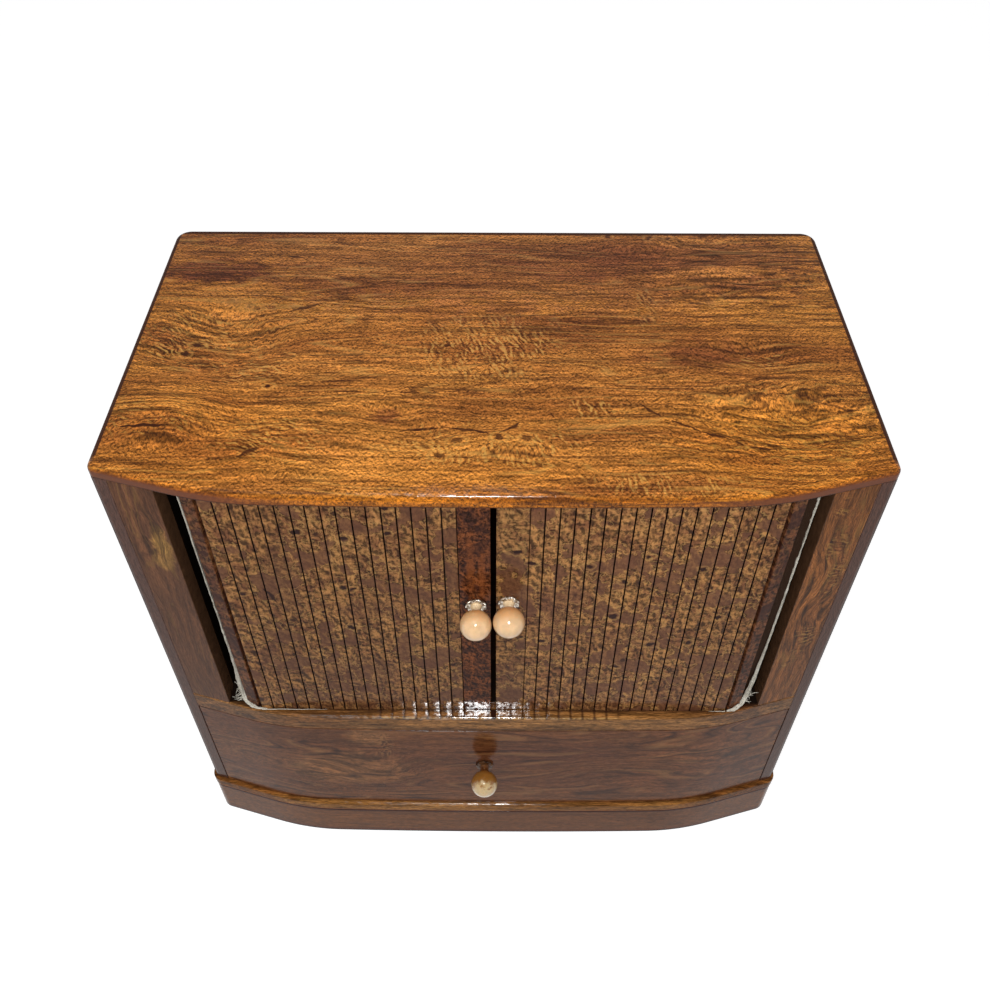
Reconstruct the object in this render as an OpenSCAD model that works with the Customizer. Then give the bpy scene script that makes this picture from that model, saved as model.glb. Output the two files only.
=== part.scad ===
// Miniature bow-front cabinet: two sliding tambour doors above one drawer.
// Millimetres, +Z up, front towards -Y. The origin is under the middle of the
// whole object, on the surface that it stands on. The plan is drawn with Y = 0
// at the two front corners of the case and is then moved back to that origin.

/* [Case] */
// Width of the case across its sides
case_w = 300; // [270:1:330]
// Height from the floor to the top face
case_h = 270; // [240:1:300]
// Depth of each side, from its front corner to the back
side_depth = 157; // [140:1:175]
// How far the middle of the front stands out before its corners
bow = 15; // [12:0.5:18]
// Radius of the nearly straight middle of the front
middle_r = 4500; // [3000:100:7000]
// Radius of the shoulder on each side of the middle
shoulder_r = 134; // [115:1:155]
// Angle between the straight ends of the front and the width
end_angle = 16; // [14:0.5:18]
// Thickness of each side
side_t = 7; // [6:0.1:9]
// Thickness of the top board
top_t = 6; // [5.5:0.1:8]
// Radius of the top board's upper edge
top_edge_r = 3; // [1:0.1:3.5]
// Plan radius of the case's front corners
front_corner_r = 3; // [1:0.1:4]
// Plan radius of the case's back corners
back_corner_r = 7; // [4:0.1:7]
// Depth of the tongue at the ends of each side
side_tongue_len = 2; // [1:0.1:2.5]
// Thickness of that tongue
side_tongue_t = 3; // [2:0.1:4]
// Thickness of the back panel
back_t = 4; // [3:0.1:5]
// Distance of the back panel from the sides' back edges
back_inset = 4; // [3:0.1:6]
// Depth of the groove that holds the back panel
back_groove = 3; // [2:0.1:3.5]

/* [Base] */
// Height of the plinth
plinth_h = 25; // [20:0.5:32]
// Thickness of the plinth's boards
plinth_t = 8; // [6:0.1:10]
// Thickness of the base board, whose edge is the bead
base_t = 7.5; // [6.5:0.1:9]
// How far the bead stands out round the front and sides
base_proud = 1.8; // [1:0.1:3.5]
// Plan radius of the bead's front corners
base_corner_r = 6; // [5:0.5:9]
// Radius of the bead's upper and lower edges
bead_edge_r = 1.5; // [1:0.1:3]
// How far the plinth stands back from the bead
plinth_quirk = 0.3; // [0.1:0.1:1.2]
// Leg of the glue blocks inside the plinth's corners
block_leg = 14; // [10:0.5:18]

/* [Shelf] */
// Height of the drawer's opening
drawer_opening_h = 74.5; // [66:0.5:82]
// Thickness of the shelf and of the rail in front of it
shelf_t = 11; // [9:0.1:13]
// Depth of the housing that holds the shelf in each side
shelf_housing = 2; // [1.5:0.1:3]
// Distance of the rail's back edge behind the front corners
rail_back = 18; // [16:0.5:24]
// Radius of the rail's upper front edge
rail_edge_r = 1.2; // [0.5:0.1:2]

/* [Stiles and liners] */
// Width of each front stile
stile_w = 18.4; // [16:0.1:20]
// Distance of the stile's back behind the front corners
stile_back = 16.5; // [14:0.5:20]
// Thickness of the liner beside each door pocket
liner_t = 3; // [2:0.1:4]
// Distance of the liner's front edge behind the front corners
liner_front = 6; // [5:0.5:10]

/* [Doors] */
// How far the doors' faces lie behind the middle of the front
door_set = 5; // [4:0.1:7]
// Radius that the doors' faces turn round at each end of the front
turn_r = 12; // [11:0.1:13]
// Space between the doors' faces and each stile
pocket_gap = 3.7; // [3:0.1:5]
// Gap between the two doors at their meeting line
meeting_gap = 2.2; // [1.2:0.1:3]
// Width of the leading stile of each door
lead_w = 12.6; // [11:0.1:15]
// Thickness of the leading stile between its tongues
lead_t = 5; // [4.5:0.1:6]
// Thickness of each slat, and of the tongues in the tracks
slat_t = 3.2; // [2.8:0.1:3.6]
// Number of narrow slats in each door
slat_count = 17; // [15:1:19]
// Gap between neighbouring slats
slat_gap = 0.4; // [0.2:0.05:0.6]
// Radius along the front edges of each slat
slat_edge_r = 0.4; // [0.2:0.1:1.2]
// Width of the last slat, at the turn
tail_w = 6; // [5:0.1:7]
// Thickness of the canvas behind the slats
canvas_t = 0.5; // [0.4:0.05:0.8]
// Canvas left free beyond the last slat
canvas_hem = 2.4; // [1:0.1:3]
// Canvas left bare at the top and bottom
canvas_short = 1.5; // [0.5:0.1:3]
// Depth of the tracks in the shelf and the top board
track_depth = 2.5; // [2:0.1:3]
// Play between a door and each wall and floor of its track
track_play = 0.35; // [0.2:0.05:0.5]
// Room left for the gathered slats when a door is open
gather_room = 2.6; // [2:0.1:6]

/* [Drawer] */
// Gap round the drawer front
drawer_gap = 0.5; // [0.3:0.05:0.8]
// Distance of the drawer front's back face behind the front corners
drawer_front_back = 6; // [5:0.5:8]
// Thickness of the drawer's sides
drawer_side_t = 5; // [4:0.1:6]
// Thickness of the drawer's back
drawer_back_t = 5; // [4:0.1:6]
// Thickness of the drawer's bottom
drawer_bottom_t = 2.5; // [2:0.1:3]
// Depth of the grooves and housings in the drawer's sides
drawer_groove = 2; // [1:0.1:2.5]
// Height of the drawer bottom above the sides' lower edges
drawer_bottom_lift = 4; // [3:0.1:6]
// How much lower the drawer's sides and back are than its front
drawer_side_drop = 3; // [1:0.5:6]
// Depth of the stop blocks behind the drawer
stop_depth = 4.6; // [3:0.1:8]
// Gap between the closed drawer and its stops
stop_gap = 0.3; // [0.2:0.05:0.6]
// Width of each stop block
stop_w = 18; // [12:1:30]
// Height of each stop block
stop_h = 8; // [5:0.5:12]
// Number of dovetails at each corner of the drawer front
tail_count = 4; // [3:1:5]
// Length of the dovetails
dovetail_len = 5; // [4:0.1:5.5]
// Slope of the dovetails in degrees
dovetail_slope = 12; // [8:1:14]

/* [Knobs] */
// Diameter of the ball of each knob
knob_d = 13; // [11:0.1:13.4]
// Distance of the ball's centre from the face that the knob is on
knob_reach = 10.5; // [10:0.1:14]
// Diameter of the neck behind the ball
neck_d = 5; // [4:0.1:6]
// Diameter of the collar against the wood
collar_d = 8.4; // [7:0.1:10]
// Thickness of the collar
collar_t = 1.3; // [1:0.1:2]
// Depth of the neck's seat in the ball
neck_seat = 1.2; // [0.8:0.1:2]
// Distance of the left door's knob from the middle
left_knob_x = 7.1; // [6.8:0.1:9]
// Height of the left door's knob above the floor
left_knob_z = 200; // [180:0.5:220]
// Distance of the right door's knob from the middle
right_knob_x = 6.3; // [6.1:0.1:9]
// Height of the right door's knob above the floor
right_knob_z = 202; // [180:0.5:220]
// Height of the drawer knob above the floor
drawer_knob_z = 74; // [62:0.5:85]
// Sideways place of the drawer knob, a little left of the middle
drawer_knob_x = -4.4; // [-10:0.1:10]

/* [Screws] */
// Diameter of the knob screws
screw_d = 2.5; // [2:0.1:3]
// Diameter of the knob screws' heads
screw_head_d = 5; // [4:0.1:6]
// Thickness of the knob screws' heads
screw_head_t = 1.4; // [1:0.1:2]
// Gap round each knob screw in its hole
screw_play = 0.05; // [0.03:0.01:0.1]
// How far each knob screw reaches past the middle of its ball
screw_past = 1; // [0:0.1:3]
// Diameter of the back panel's screws
back_screw_d = 2; // [1.6:0.1:2.5]
// Head diameter of the back panel's screws
back_screw_head_d = 4; // [3:0.1:5]
// Length of the back panel's screws
back_screw_len = 12; // [9:0.5:16]
// Number of screws along the back panel
back_screws_n = 3; // [2:1:5]

/* [Hidden] */
$fn = 48;
// Steps along one arc of the plan
arc_steps = 10;
// Steps round a moulded edge
edge_steps = 5;
// Longer than any size of the object
reach = 400;

half_w = case_w / 2;
inner_x = half_w - side_t;
base_z = plinth_h;
floor_z = base_z + base_t;
shelf_z = floor_z + drawer_opening_h;
deck_z = shelf_z + shelf_t;
ceiling_z = case_h - top_t;
back_face = side_depth - back_inset;
back_inner = back_face - back_t;

// Plan of the front: the middle arc, a shoulder arc and a straight end
middle_c = [0, middle_r - bow];
end_dir = [-cos(end_angle), -sin(end_angle)];
end_in = [-sin(end_angle), cos(end_angle)];
from_middle = [half_w, 0] + shoulder_r * end_in - middle_c;
lin = 2 * (from_middle * end_dir);
con = from_middle * from_middle - pow(middle_r - shoulder_r, 2);
end_len = (-lin + sqrt(lin * lin - 4 * con)) / 2;
shoulder_c = [half_w, 0] + end_len * end_dir + shoulder_r * end_in;
join_angle = atan2(shoulder_c.y - middle_c.y, shoulder_c.x - middle_c.x);
mitre = (1 - sin(end_angle)) / cos(end_angle);
// Front corner radius of the base's outline where it would lie flush with the case
base_r = base_corner_r - base_proud;

// Doors
door_y = door_set - bow;
slat_back_y = door_y + slat_t;
turn_x = inner_x - stile_w - pocket_gap - turn_r;
turn_c = [turn_x, door_y + turn_r];
back_r = turn_r - slat_t;
lead_x = meeting_gap / 2;
slats_x = lead_x + lead_w;
slat_pitch = (turn_x - slats_x) / slat_count;
door_travel = turn_x - slats_x - gather_room;
tail_angle = asin(tail_w / 2 / back_r);
tongue = track_depth - track_play;
slat_z = deck_z - tongue;
slat_h = ceiling_z - deck_z + 2 * tongue;
track_front = turn_r + track_play;
track_behind = back_r - canvas_t - track_play;
quarter_turn = back_r * PI / 2;
track_back = turn_c.y + door_travel + tail_w + canvas_hem + track_play - quarter_turn;
liner_x = turn_x + track_behind - liner_t;

// Drawer
drawer_x = inner_x - drawer_gap;
drawer_z = floor_z + drawer_gap;
drawer_h = drawer_opening_h - 2 * drawer_gap;
drawer_side_h = drawer_h - drawer_side_drop;
drawer_rear = back_inner - stop_depth - stop_gap;
bottom_z = drawer_z + drawer_bottom_lift;
dovetail_step = drawer_side_h / tail_count;

// Knobs
ball_r = knob_d / 2;
ball_back = knob_reach - sqrt(ball_r * ball_r - neck_d * neck_d / 4);
drawer_face_y = front_y(drawer_knob_x);
front_most = drawer_face_y - knob_reach - ball_r;
middle_y = (front_most + side_depth) / 2;

// Points along an arc, from angle a to angle b
function arc(c, r, a, b, steps) =
    [for (i = [0:steps]) c + r * [cos(a + (b - a) * i / steps), sin(a + (b - a) * i / steps)]];

// A round corner, or its single point where no radius is left
function corner(c, r, a, b, steps) = r > 0 ? arc(c, r, a, b, steps) : [c];

// Right half of the plan, moved outwards by e from an outline with a front corner of radius r
function half_plan(e, r) =
    let (front_r = max(r + e, 0), back_r = max(back_corner_r + e, 0))
    concat(
        arc(middle_c, middle_r + e, -90, join_angle, arc_steps),
        arc(shoulder_c, shoulder_r + e, join_angle, end_angle - 90, arc_steps),
        corner([half_w + e - front_r, (front_r - e) * mitre], front_r, end_angle - 90, 0, edge_steps),
        corner([half_w + e - back_r, side_depth + e - back_r], back_r, 0, 90, arc_steps)
    );

// Y of the front's middle arc at x
function front_y(x) = middle_c.y - sqrt(middle_r * middle_r - x * x);

// Plan of the case, moved outwards by e, and cut off at the back
module plan(e = 0, back = side_depth, corner_r = front_corner_r) {
    right = half_plan(e, corner_r);
    count = len(right);
    left = [for (i = [0:count - 1]) [-right[count - 1 - i].x, right[count - 1 - i].y]];
    intersection() {
        polygon(concat(right, left));
        translate([-reach, back - reach]) square([2 * reach, reach]);
    }
}

// Moves the plan's zero to the middle of the whole object
module place() {
    translate([0, -middle_y, 0]) children();
}

// Mirrors a right-hand piece to the left
module handed(right) {
    if (right) children();
    else mirror([1, 0, 0]) children();
}

// Box from its lowest corner to its highest
module block(a, b) {
    translate(a) cube(b - a);
}

// Track of both doors, cut upwards from its floor
module track(z, h) {
    straight_w = track_front - track_behind;
    translate([0, 0, z]) linear_extrude(h) {
        translate([-turn_x, turn_c.y - track_front]) square([2 * turn_x, straight_w]);
        for (side = [-1, 1]) scale([side, 1]) {
            intersection() {
                translate(turn_c) difference() {
                    circle(track_front);
                    circle(track_behind);
                }
                translate([turn_c.x, turn_c.y - track_front]) square(track_front);
            }
            translate([turn_c.x + track_behind, turn_c.y])
                square([straight_w, track_back - turn_c.y]);
        }
    }
}

// Tongue along an end of one side, at height z
module side_tongue(z) {
    block([inner_x, rail_back, z], [inner_x + side_tongue_t, back_inner, z + side_tongue_len]);
}

// Grooves for both sides' tongues, in the top board and in the base board
module side_tongues(z) {
    side_tongue(z);
    mirror([1, 0, 0]) side_tongue(z);
}

module top_board() {
    color("peru") place() difference() {
        hull() for (i = [0:edge_steps]) {
            turn = 90 * i / edge_steps;
            translate([0, 0, ceiling_z])
                linear_extrude(top_t - top_edge_r * (1 - sin(turn)))
                    plan(-top_edge_r * (1 - cos(turn)), side_depth - top_edge_r * (1 - cos(turn)));
        }
        track(ceiling_z, track_depth);
        side_tongues(ceiling_z);
    }
}

module case_side(right) {
    color("saddlebrown") place() handed(right) difference() {
        union() {
            translate([0, 0, floor_z]) linear_extrude(ceiling_z - floor_z) intersection() {
                plan();
                translate([inner_x, -reach]) square([side_t, 2 * reach]);
            }
            side_tongue(ceiling_z);
            side_tongue(floor_z - side_tongue_len);
        }
        block([inner_x, back_inner, floor_z - side_tongue_len],
            [inner_x + back_groove, back_face, ceiling_z + side_tongue_len]);
        block([inner_x, rail_back, shelf_z], [inner_x + shelf_housing, back_inner, deck_z]);
    }
}

module back_panel() {
    panel_x = inner_x + back_groove;
    color("burlywood") place() difference() {
        block([-panel_x, back_inner, floor_z], [panel_x, back_face, ceiling_z]);
        back_screw_places() screw_shape(back_screw_d + 2 * screw_play, screw_play);
    }
}

// Back screws' heads lie at z = 0, and their shanks run down
module screw_shape(d, grow) {
    head_r = back_screw_head_d / 2 + grow;
    translate([0, 0, -back_screw_len]) cylinder(d = d, h = back_screw_len);
    translate([0, 0, -head_r]) cylinder(r1 = 0, r2 = head_r, h = head_r);
}

module back_screw_places() {
    step = 2 * inner_x / (back_screws_n + 1);
    for (i = [1:back_screws_n])
        translate([i * step - inner_x, back_face, shelf_z + shelf_t / 2])
            rotate([-90, 0, 0]) children();
}

module back_screws() {
    color("goldenrod") place() back_screw_places() screw_shape(back_screw_d, 0);
}

// Board whose front and side edges are flat between two rounded arrises
module base_board() {
    color("darkgoldenrod") place() difference() {
        hull() for (i = [0:edge_steps]) {
            turn = 90 * i / edge_steps;
            low = bead_edge_r * (1 - sin(turn));
            translate([0, 0, base_z + low]) linear_extrude(base_t - 2 * low)
                plan(base_proud - bead_edge_r * (1 - cos(turn)), corner_r = base_r);
        }
        side_tongues(floor_z - side_tongue_len);
    }
}

// Ring of the plinth, from which its four boards are cut
module plinth_ring() {
    face = base_proud - plinth_quirk;
    difference() {
        plan(face, corner_r = base_r);
        plan(face - plinth_t, side_depth - plinth_t, base_r);
    }
}

// Everything in front of the two mitres at the front corners
module front_zone() {
    fall = reach * mitre;
    polygon([[0, half_w * mitre], [-reach, half_w * mitre - fall], [-reach, -2 * reach],
        [reach, -2 * reach], [reach, half_w * mitre - fall]]);
}

// Everything behind the two mitres at the back corners
module back_zone() {
    middle = side_depth / 2;
    near_x = half_w - middle;
    far = middle + reach - near_x;
    polygon([[near_x, middle], [reach, far], [-reach, far], [-near_x, middle]]);
}

module plinth_front() {
    color("sienna") place() linear_extrude(plinth_h) intersection() {
        plinth_ring();
        front_zone();
    }
}

module plinth_back() {
    color("sienna") place() linear_extrude(plinth_h) intersection() {
        plinth_ring();
        back_zone();
    }
}

module plinth_side(right) {
    color("sienna") place() handed(right) linear_extrude(plinth_h) intersection() {
        difference() {
            plinth_ring();
            front_zone();
            back_zone();
        }
        translate([0, -reach]) square([reach, 3 * reach]);
    }
}

// Three-sided glue blocks in the corners behind the plinth
module plinth_blocks() {
    face = base_proud - plinth_quirk;
    corner_x = half_w + face - plinth_t;
    front = (half_w - corner_x) * mitre;
    back = side_depth - plinth_t;
    lean = block_leg * sin(end_angle);
    color("tan") place() linear_extrude(plinth_h) for (side = [-1, 1]) scale([side, 1]) {
        polygon([[corner_x, front], [corner_x, front + block_leg],
            [corner_x - block_leg * cos(end_angle), front - lean]]);
        polygon([[corner_x, back], [corner_x - block_leg, back], [corner_x, back - block_leg]]);
    }
}

module shelf_board() {
    shelf_x = inner_x + shelf_housing;
    color("tan") place() difference() {
        block([-shelf_x, rail_back, shelf_z], [shelf_x, back_inner, deck_z]);
        track(deck_z - track_depth, track_depth);
        back_screw_places() screw_shape(back_screw_d + 2 * screw_play, screw_play);
    }
}

// Rail with a rounded upper edge along its curved front
module front_rail() {
    color("chocolate") place() difference() {
        translate([0, 0, shelf_z]) hull() for (i = [0:edge_steps]) {
            turn = 90 * i / edge_steps;
            linear_extrude(shelf_t - rail_edge_r * (1 - sin(turn))) intersection() {
                plan(-rail_edge_r * (1 - cos(turn)));
                translate([-inner_x, rail_back - reach]) square([2 * inner_x, reach]);
            }
        }
        track(deck_z - track_depth, track_depth);
    }
}

module stile(right) {
    color("saddlebrown") place() handed(right)
        translate([0, 0, deck_z]) linear_extrude(ceiling_z - deck_z) intersection() {
            plan();
            translate([inner_x - stile_w, stile_back - reach]) square([stile_w, reach]);
        }
}

module liner(right) {
    color("burlywood") place() handed(right)
        block([liner_x, liner_front, deck_z], [liner_x + liner_t, back_inner, ceiling_z]);
}

// Section of one slat from x = 0 to w, its back on y = 0 and its face at -Y
module slat_section(w) {
    polygon(concat(
        arc([slat_edge_r, slat_edge_r - slat_t], slat_edge_r, 180, 270, edge_steps),
        arc([w - slat_edge_r, slat_edge_r - slat_t], slat_edge_r, 270, 360, edge_steps),
        [[w, 0], [0, 0]]
    ));
}

module slats(right) {
    color("goldenrod") place() handed(right) for (i = [0:slat_count - 1])
        translate([slats_x + i * slat_pitch + slat_gap / 2, slat_back_y, slat_z])
            linear_extrude(slat_h) slat_section(slat_pitch - slat_gap);
}

module tail_slat(right) {
    color("sienna") place() handed(right) translate([turn_x, slat_back_y, slat_z])
        rotate(tail_angle) translate([slat_gap / 2, 0, 0])
            linear_extrude(slat_h) slat_section(tail_w - slat_gap / 2);
}

// Canvas glued behind the slats and left free past the last one
module canvas(right) {
    tail_end = [turn_x, slat_back_y] + tail_w * [cos(tail_angle), sin(tail_angle)];
    hem_angle = 2 * tail_angle + canvas_hem / back_r * 180 / PI;
    outer = concat([[slats_x, slat_back_y], [turn_x, slat_back_y], tail_end],
        arc(turn_c, back_r, 2 * tail_angle - 90, hem_angle - 90, edge_steps));
    inner_r = back_r - canvas_t;
    inner = concat(arc(turn_c, inner_r, hem_angle - 90, 2 * tail_angle - 90, edge_steps),
        [[turn_x, slat_back_y + canvas_t], [slats_x, slat_back_y + canvas_t]]);
    color("ivory") place() handed(right)
        translate([0, 0, deck_z + canvas_short])
            linear_extrude(ceiling_z - deck_z - 2 * canvas_short) polygon(concat(outer, inner));
}

// Leading stile with a tongue at each end, drilled for its knob
module lead_stile(right) {
    color("maroon") place() handed(right) difference() {
        union() {
            translate([lead_x, slat_back_y, slat_z]) linear_extrude(slat_h) slat_section(lead_w);
            block([lead_x, slat_back_y, deck_z + track_play],
                [lead_x + lead_w, door_y + lead_t, ceiling_z - track_play]);
        }
        translate(door_knob(right)) knob_hole(lead_t);
    }
}

// The knob's own shapes stand on y = 0 and reach towards -Y
module outwards() {
    rotate([90, 0, 0]) children();
}

module knob_hole(depth) {
    outwards() translate([0, 0, -depth - 1]) cylinder(d = screw_d + 2 * screw_play, h = depth + 2);
}

module knob_ball() {
    outwards() difference() {
        translate([0, 0, knob_reach]) sphere(ball_r);
        cylinder(d = neck_d, h = ball_back + neck_seat);
        cylinder(d = screw_d + 2 * screw_play, h = knob_reach + screw_past + screw_play);
    }
}

// Turned neck with a rounded collar against the wood
module knob_neck() {
    neck_r = neck_d / 2;
    collar_r = collar_d / 2;
    cove = collar_r - neck_r;
    bore_r = screw_d / 2 + screw_play;
    outwards() rotate_extrude() polygon(concat(
        [[bore_r, 0], [collar_r, 0]],
        arc([collar_r - collar_t / 2, collar_t / 2], collar_t / 2, -60, 90, edge_steps),
        arc([collar_r - collar_t / 2, collar_t + cove], cove - collar_t / 2, 270, 180, edge_steps),
        [[neck_r, ball_back + neck_seat], [bore_r, ball_back + neck_seat]]
    ));
}

// Screw from behind, through the wood and the neck into the ball
module knob_screw(wood) {
    outwards() {
        translate([0, 0, -wood - screw_head_t]) intersection() {
            cylinder(d = screw_head_d, h = screw_head_t);
            translate([0, 0, screw_head_d / 2]) sphere(screw_head_d / 2);
        }
        translate([0, 0, -wood]) cylinder(d = screw_d, h = wood + knob_reach + screw_past);
    }
}

// Place of a door's knob before a left one is mirrored
function door_knob(right) =
    right ? [right_knob_x, door_y, right_knob_z] : [left_knob_x, door_y, left_knob_z];

module at_door_knob(right) {
    place() handed(right) translate(door_knob(right)) children();
}

module at_drawer_knob() {
    place() translate([drawer_knob_x, drawer_face_y, drawer_knob_z]) children();
}

// Dovetails of one drawer side, widening towards the front
module dovetails() {
    narrow = dovetail_step / 4;
    wide = narrow + dovetail_len * tan(dovetail_slope);
    for (i = [0:tail_count - 1])
        translate([drawer_x - drawer_side_t, drawer_front_back, drawer_z + (i + 0.5) * dovetail_step])
            rotate([90, 0, 90]) linear_extrude(drawer_side_t)
                polygon([[0, -narrow], [0, narrow], [-dovetail_len, wide], [-dovetail_len, -wide]]);
}

module drawer_front() {
    panel_x = drawer_x - drawer_side_t + drawer_groove;
    color("brown") place() difference() {
        translate([0, 0, drawer_z]) linear_extrude(drawer_h) intersection() {
            plan();
            translate([-drawer_x, drawer_front_back - reach]) square([2 * drawer_x, reach]);
        }
        dovetails();
        mirror([1, 0, 0]) dovetails();
        block([-panel_x, drawer_front_back - drawer_groove, bottom_z],
            [panel_x, drawer_front_back, bottom_z + drawer_bottom_t]);
        translate([drawer_knob_x, drawer_face_y, drawer_knob_z])
            knob_hole(drawer_front_back - drawer_face_y);
    }
}

module drawer_side(right) {
    inner = drawer_x - drawer_side_t;
    color("burlywood") place() handed(right) difference() {
        union() {
            block([inner, drawer_front_back, drawer_z], [drawer_x, drawer_rear, drawer_z + drawer_side_h]);
            dovetails();
        }
        block([inner, drawer_front_back - drawer_groove, bottom_z],
            [inner + drawer_groove, drawer_rear, bottom_z + drawer_bottom_t]);
        block([inner, drawer_rear - drawer_back_t, bottom_z + drawer_bottom_t],
            [inner + drawer_groove, drawer_rear, drawer_z + drawer_side_h]);
    }
}

module drawer_back() {
    panel_x = drawer_x - drawer_side_t + drawer_groove;
    color("burlywood") place()
        block([-panel_x, drawer_rear - drawer_back_t, bottom_z + drawer_bottom_t],
            [panel_x, drawer_rear, drawer_z + drawer_side_h]);
}

module drawer_bottom() {
    panel_x = drawer_x - drawer_side_t + drawer_groove;
    color("wheat") place()
        block([-panel_x, drawer_front_back - drawer_groove, bottom_z],
            [panel_x, drawer_rear, bottom_z + drawer_bottom_t]);
}

// Two blocks on the base board that stop the drawer with its front flush
module drawer_stops() {
    stop_x = inner_x / 2;
    color("tan") place() for (right = [false, true]) handed(right)
        block([stop_x - stop_w / 2, back_inner - stop_depth, floor_z],
            [stop_x + stop_w / 2, back_inner, floor_z + stop_h]);
}

top_board();
case_side(false);  // left_side
case_side(true);  // right_side
back_panel();
back_screws();
base_board();
plinth_front();
plinth_side(false);  // plinth_left
plinth_side(true);  // plinth_right
plinth_back();
plinth_blocks();
shelf_board();
front_rail();
stile(false);  // left_stile
stile(true);  // right_stile
liner(false);  // left_liner
liner(true);  // right_liner
slats(false);  // left_slats
slats(true);  // right_slats
tail_slat(false);  // left_tail_slat
tail_slat(true);  // right_tail_slat
canvas(false);  // left_canvas
canvas(true);  // right_canvas
lead_stile(false);  // left_lead_stile
lead_stile(true);  // right_lead_stile
color("ivory") at_door_knob(false) knob_ball();  // left_knob_ball
color("ivory") at_door_knob(true) knob_ball();  // right_knob_ball
color("silver") at_door_knob(false) knob_neck();  // left_knob_neck
color("silver") at_door_knob(true) knob_neck();  // right_knob_neck
color("gold") at_door_knob(false) knob_screw(lead_t);  // left_knob_screw
color("gold") at_door_knob(true) knob_screw(lead_t);  // right_knob_screw
drawer_front();
drawer_side(false);  // drawer_left_side
drawer_side(true);  // drawer_right_side
drawer_back();
drawer_bottom();
drawer_stops();
color("khaki") at_drawer_knob() knob_ball();  // drawer_knob_ball
color("dimgray") at_drawer_knob() knob_neck();  // drawer_knob_neck
color("gold") at_drawer_knob() knob_screw(drawer_front_back - drawer_face_y);  // drawer_knob_screw
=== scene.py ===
"""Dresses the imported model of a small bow-front cabinet with tambour doors and a drawer.

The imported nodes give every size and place. Each polished board is a welded copy of its node with
softly broken edges, and the doors' slats, canvas and knobs are modelled anew in the same place.
"""

import logging
import math
import random
from dataclasses import dataclass, field
from enum import Enum
from typing import Any, Callable, Iterable, Optional, Sequence, Union

import bmesh
import bpy
from mathutils import Matrix, Vector


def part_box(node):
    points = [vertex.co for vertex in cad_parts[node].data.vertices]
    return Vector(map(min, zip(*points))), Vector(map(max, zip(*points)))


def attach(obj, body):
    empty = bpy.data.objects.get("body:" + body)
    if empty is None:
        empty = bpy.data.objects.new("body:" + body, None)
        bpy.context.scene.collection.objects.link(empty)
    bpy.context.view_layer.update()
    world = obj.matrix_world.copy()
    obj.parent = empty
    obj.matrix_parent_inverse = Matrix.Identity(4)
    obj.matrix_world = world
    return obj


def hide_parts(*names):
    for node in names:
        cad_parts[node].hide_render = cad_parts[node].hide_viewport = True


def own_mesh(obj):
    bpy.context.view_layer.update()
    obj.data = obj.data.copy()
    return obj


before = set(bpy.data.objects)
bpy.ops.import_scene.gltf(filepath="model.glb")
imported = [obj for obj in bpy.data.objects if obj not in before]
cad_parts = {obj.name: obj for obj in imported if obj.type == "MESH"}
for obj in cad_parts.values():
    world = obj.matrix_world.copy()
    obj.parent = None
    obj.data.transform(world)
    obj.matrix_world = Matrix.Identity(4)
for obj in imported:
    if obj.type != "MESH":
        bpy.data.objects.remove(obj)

LOG = logging.getLogger("cabinet")
MM = 0.001
CASE_DEPTH = 157.0
CORNER_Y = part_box("right_side")[1].y / MM - CASE_DEPTH
Colour = tuple[float, float, float]
Point = tuple[float, float, float]
Plan = tuple[float, float]
Piece = bpy.types.Object
Material = bpy.types.Material
Tree = bpy.types.NodeTree
Node = bpy.types.Node
Socket = bpy.types.NodeSocket
Shape = bmesh.types.BMesh
Source = Union[float, tuple, Socket]
Look = tuple[Source, Source]


class Side(Enum):
    """The two halves of the cabinet, as seen from the front."""

    LEFT = -1
    RIGHT = 1

    @property
    def word(self) -> str:
        """The side's name as the nodes use it."""
        return self.name.lower()


class Along(Enum):
    """The axis that a board's grain follows."""

    X = ("x", "y", "z")
    Y = ("y", "x", "z")
    Z = ("z", "x", "y")


def metres(point: Point) -> Point:
    """A size in millimetres turned into metres."""
    return tuple(MM * part for part in point)


def placed(point: Point) -> Point:
    """A point in metres of the row frame.

    Args:
        point: The point in millimetres, with Y = 0 at the case's two front corners.

    Returns:
        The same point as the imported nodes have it.
    """
    x, y, z = point
    return metres((x, y + CORNER_Y, z))


# Shading tools


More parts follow.
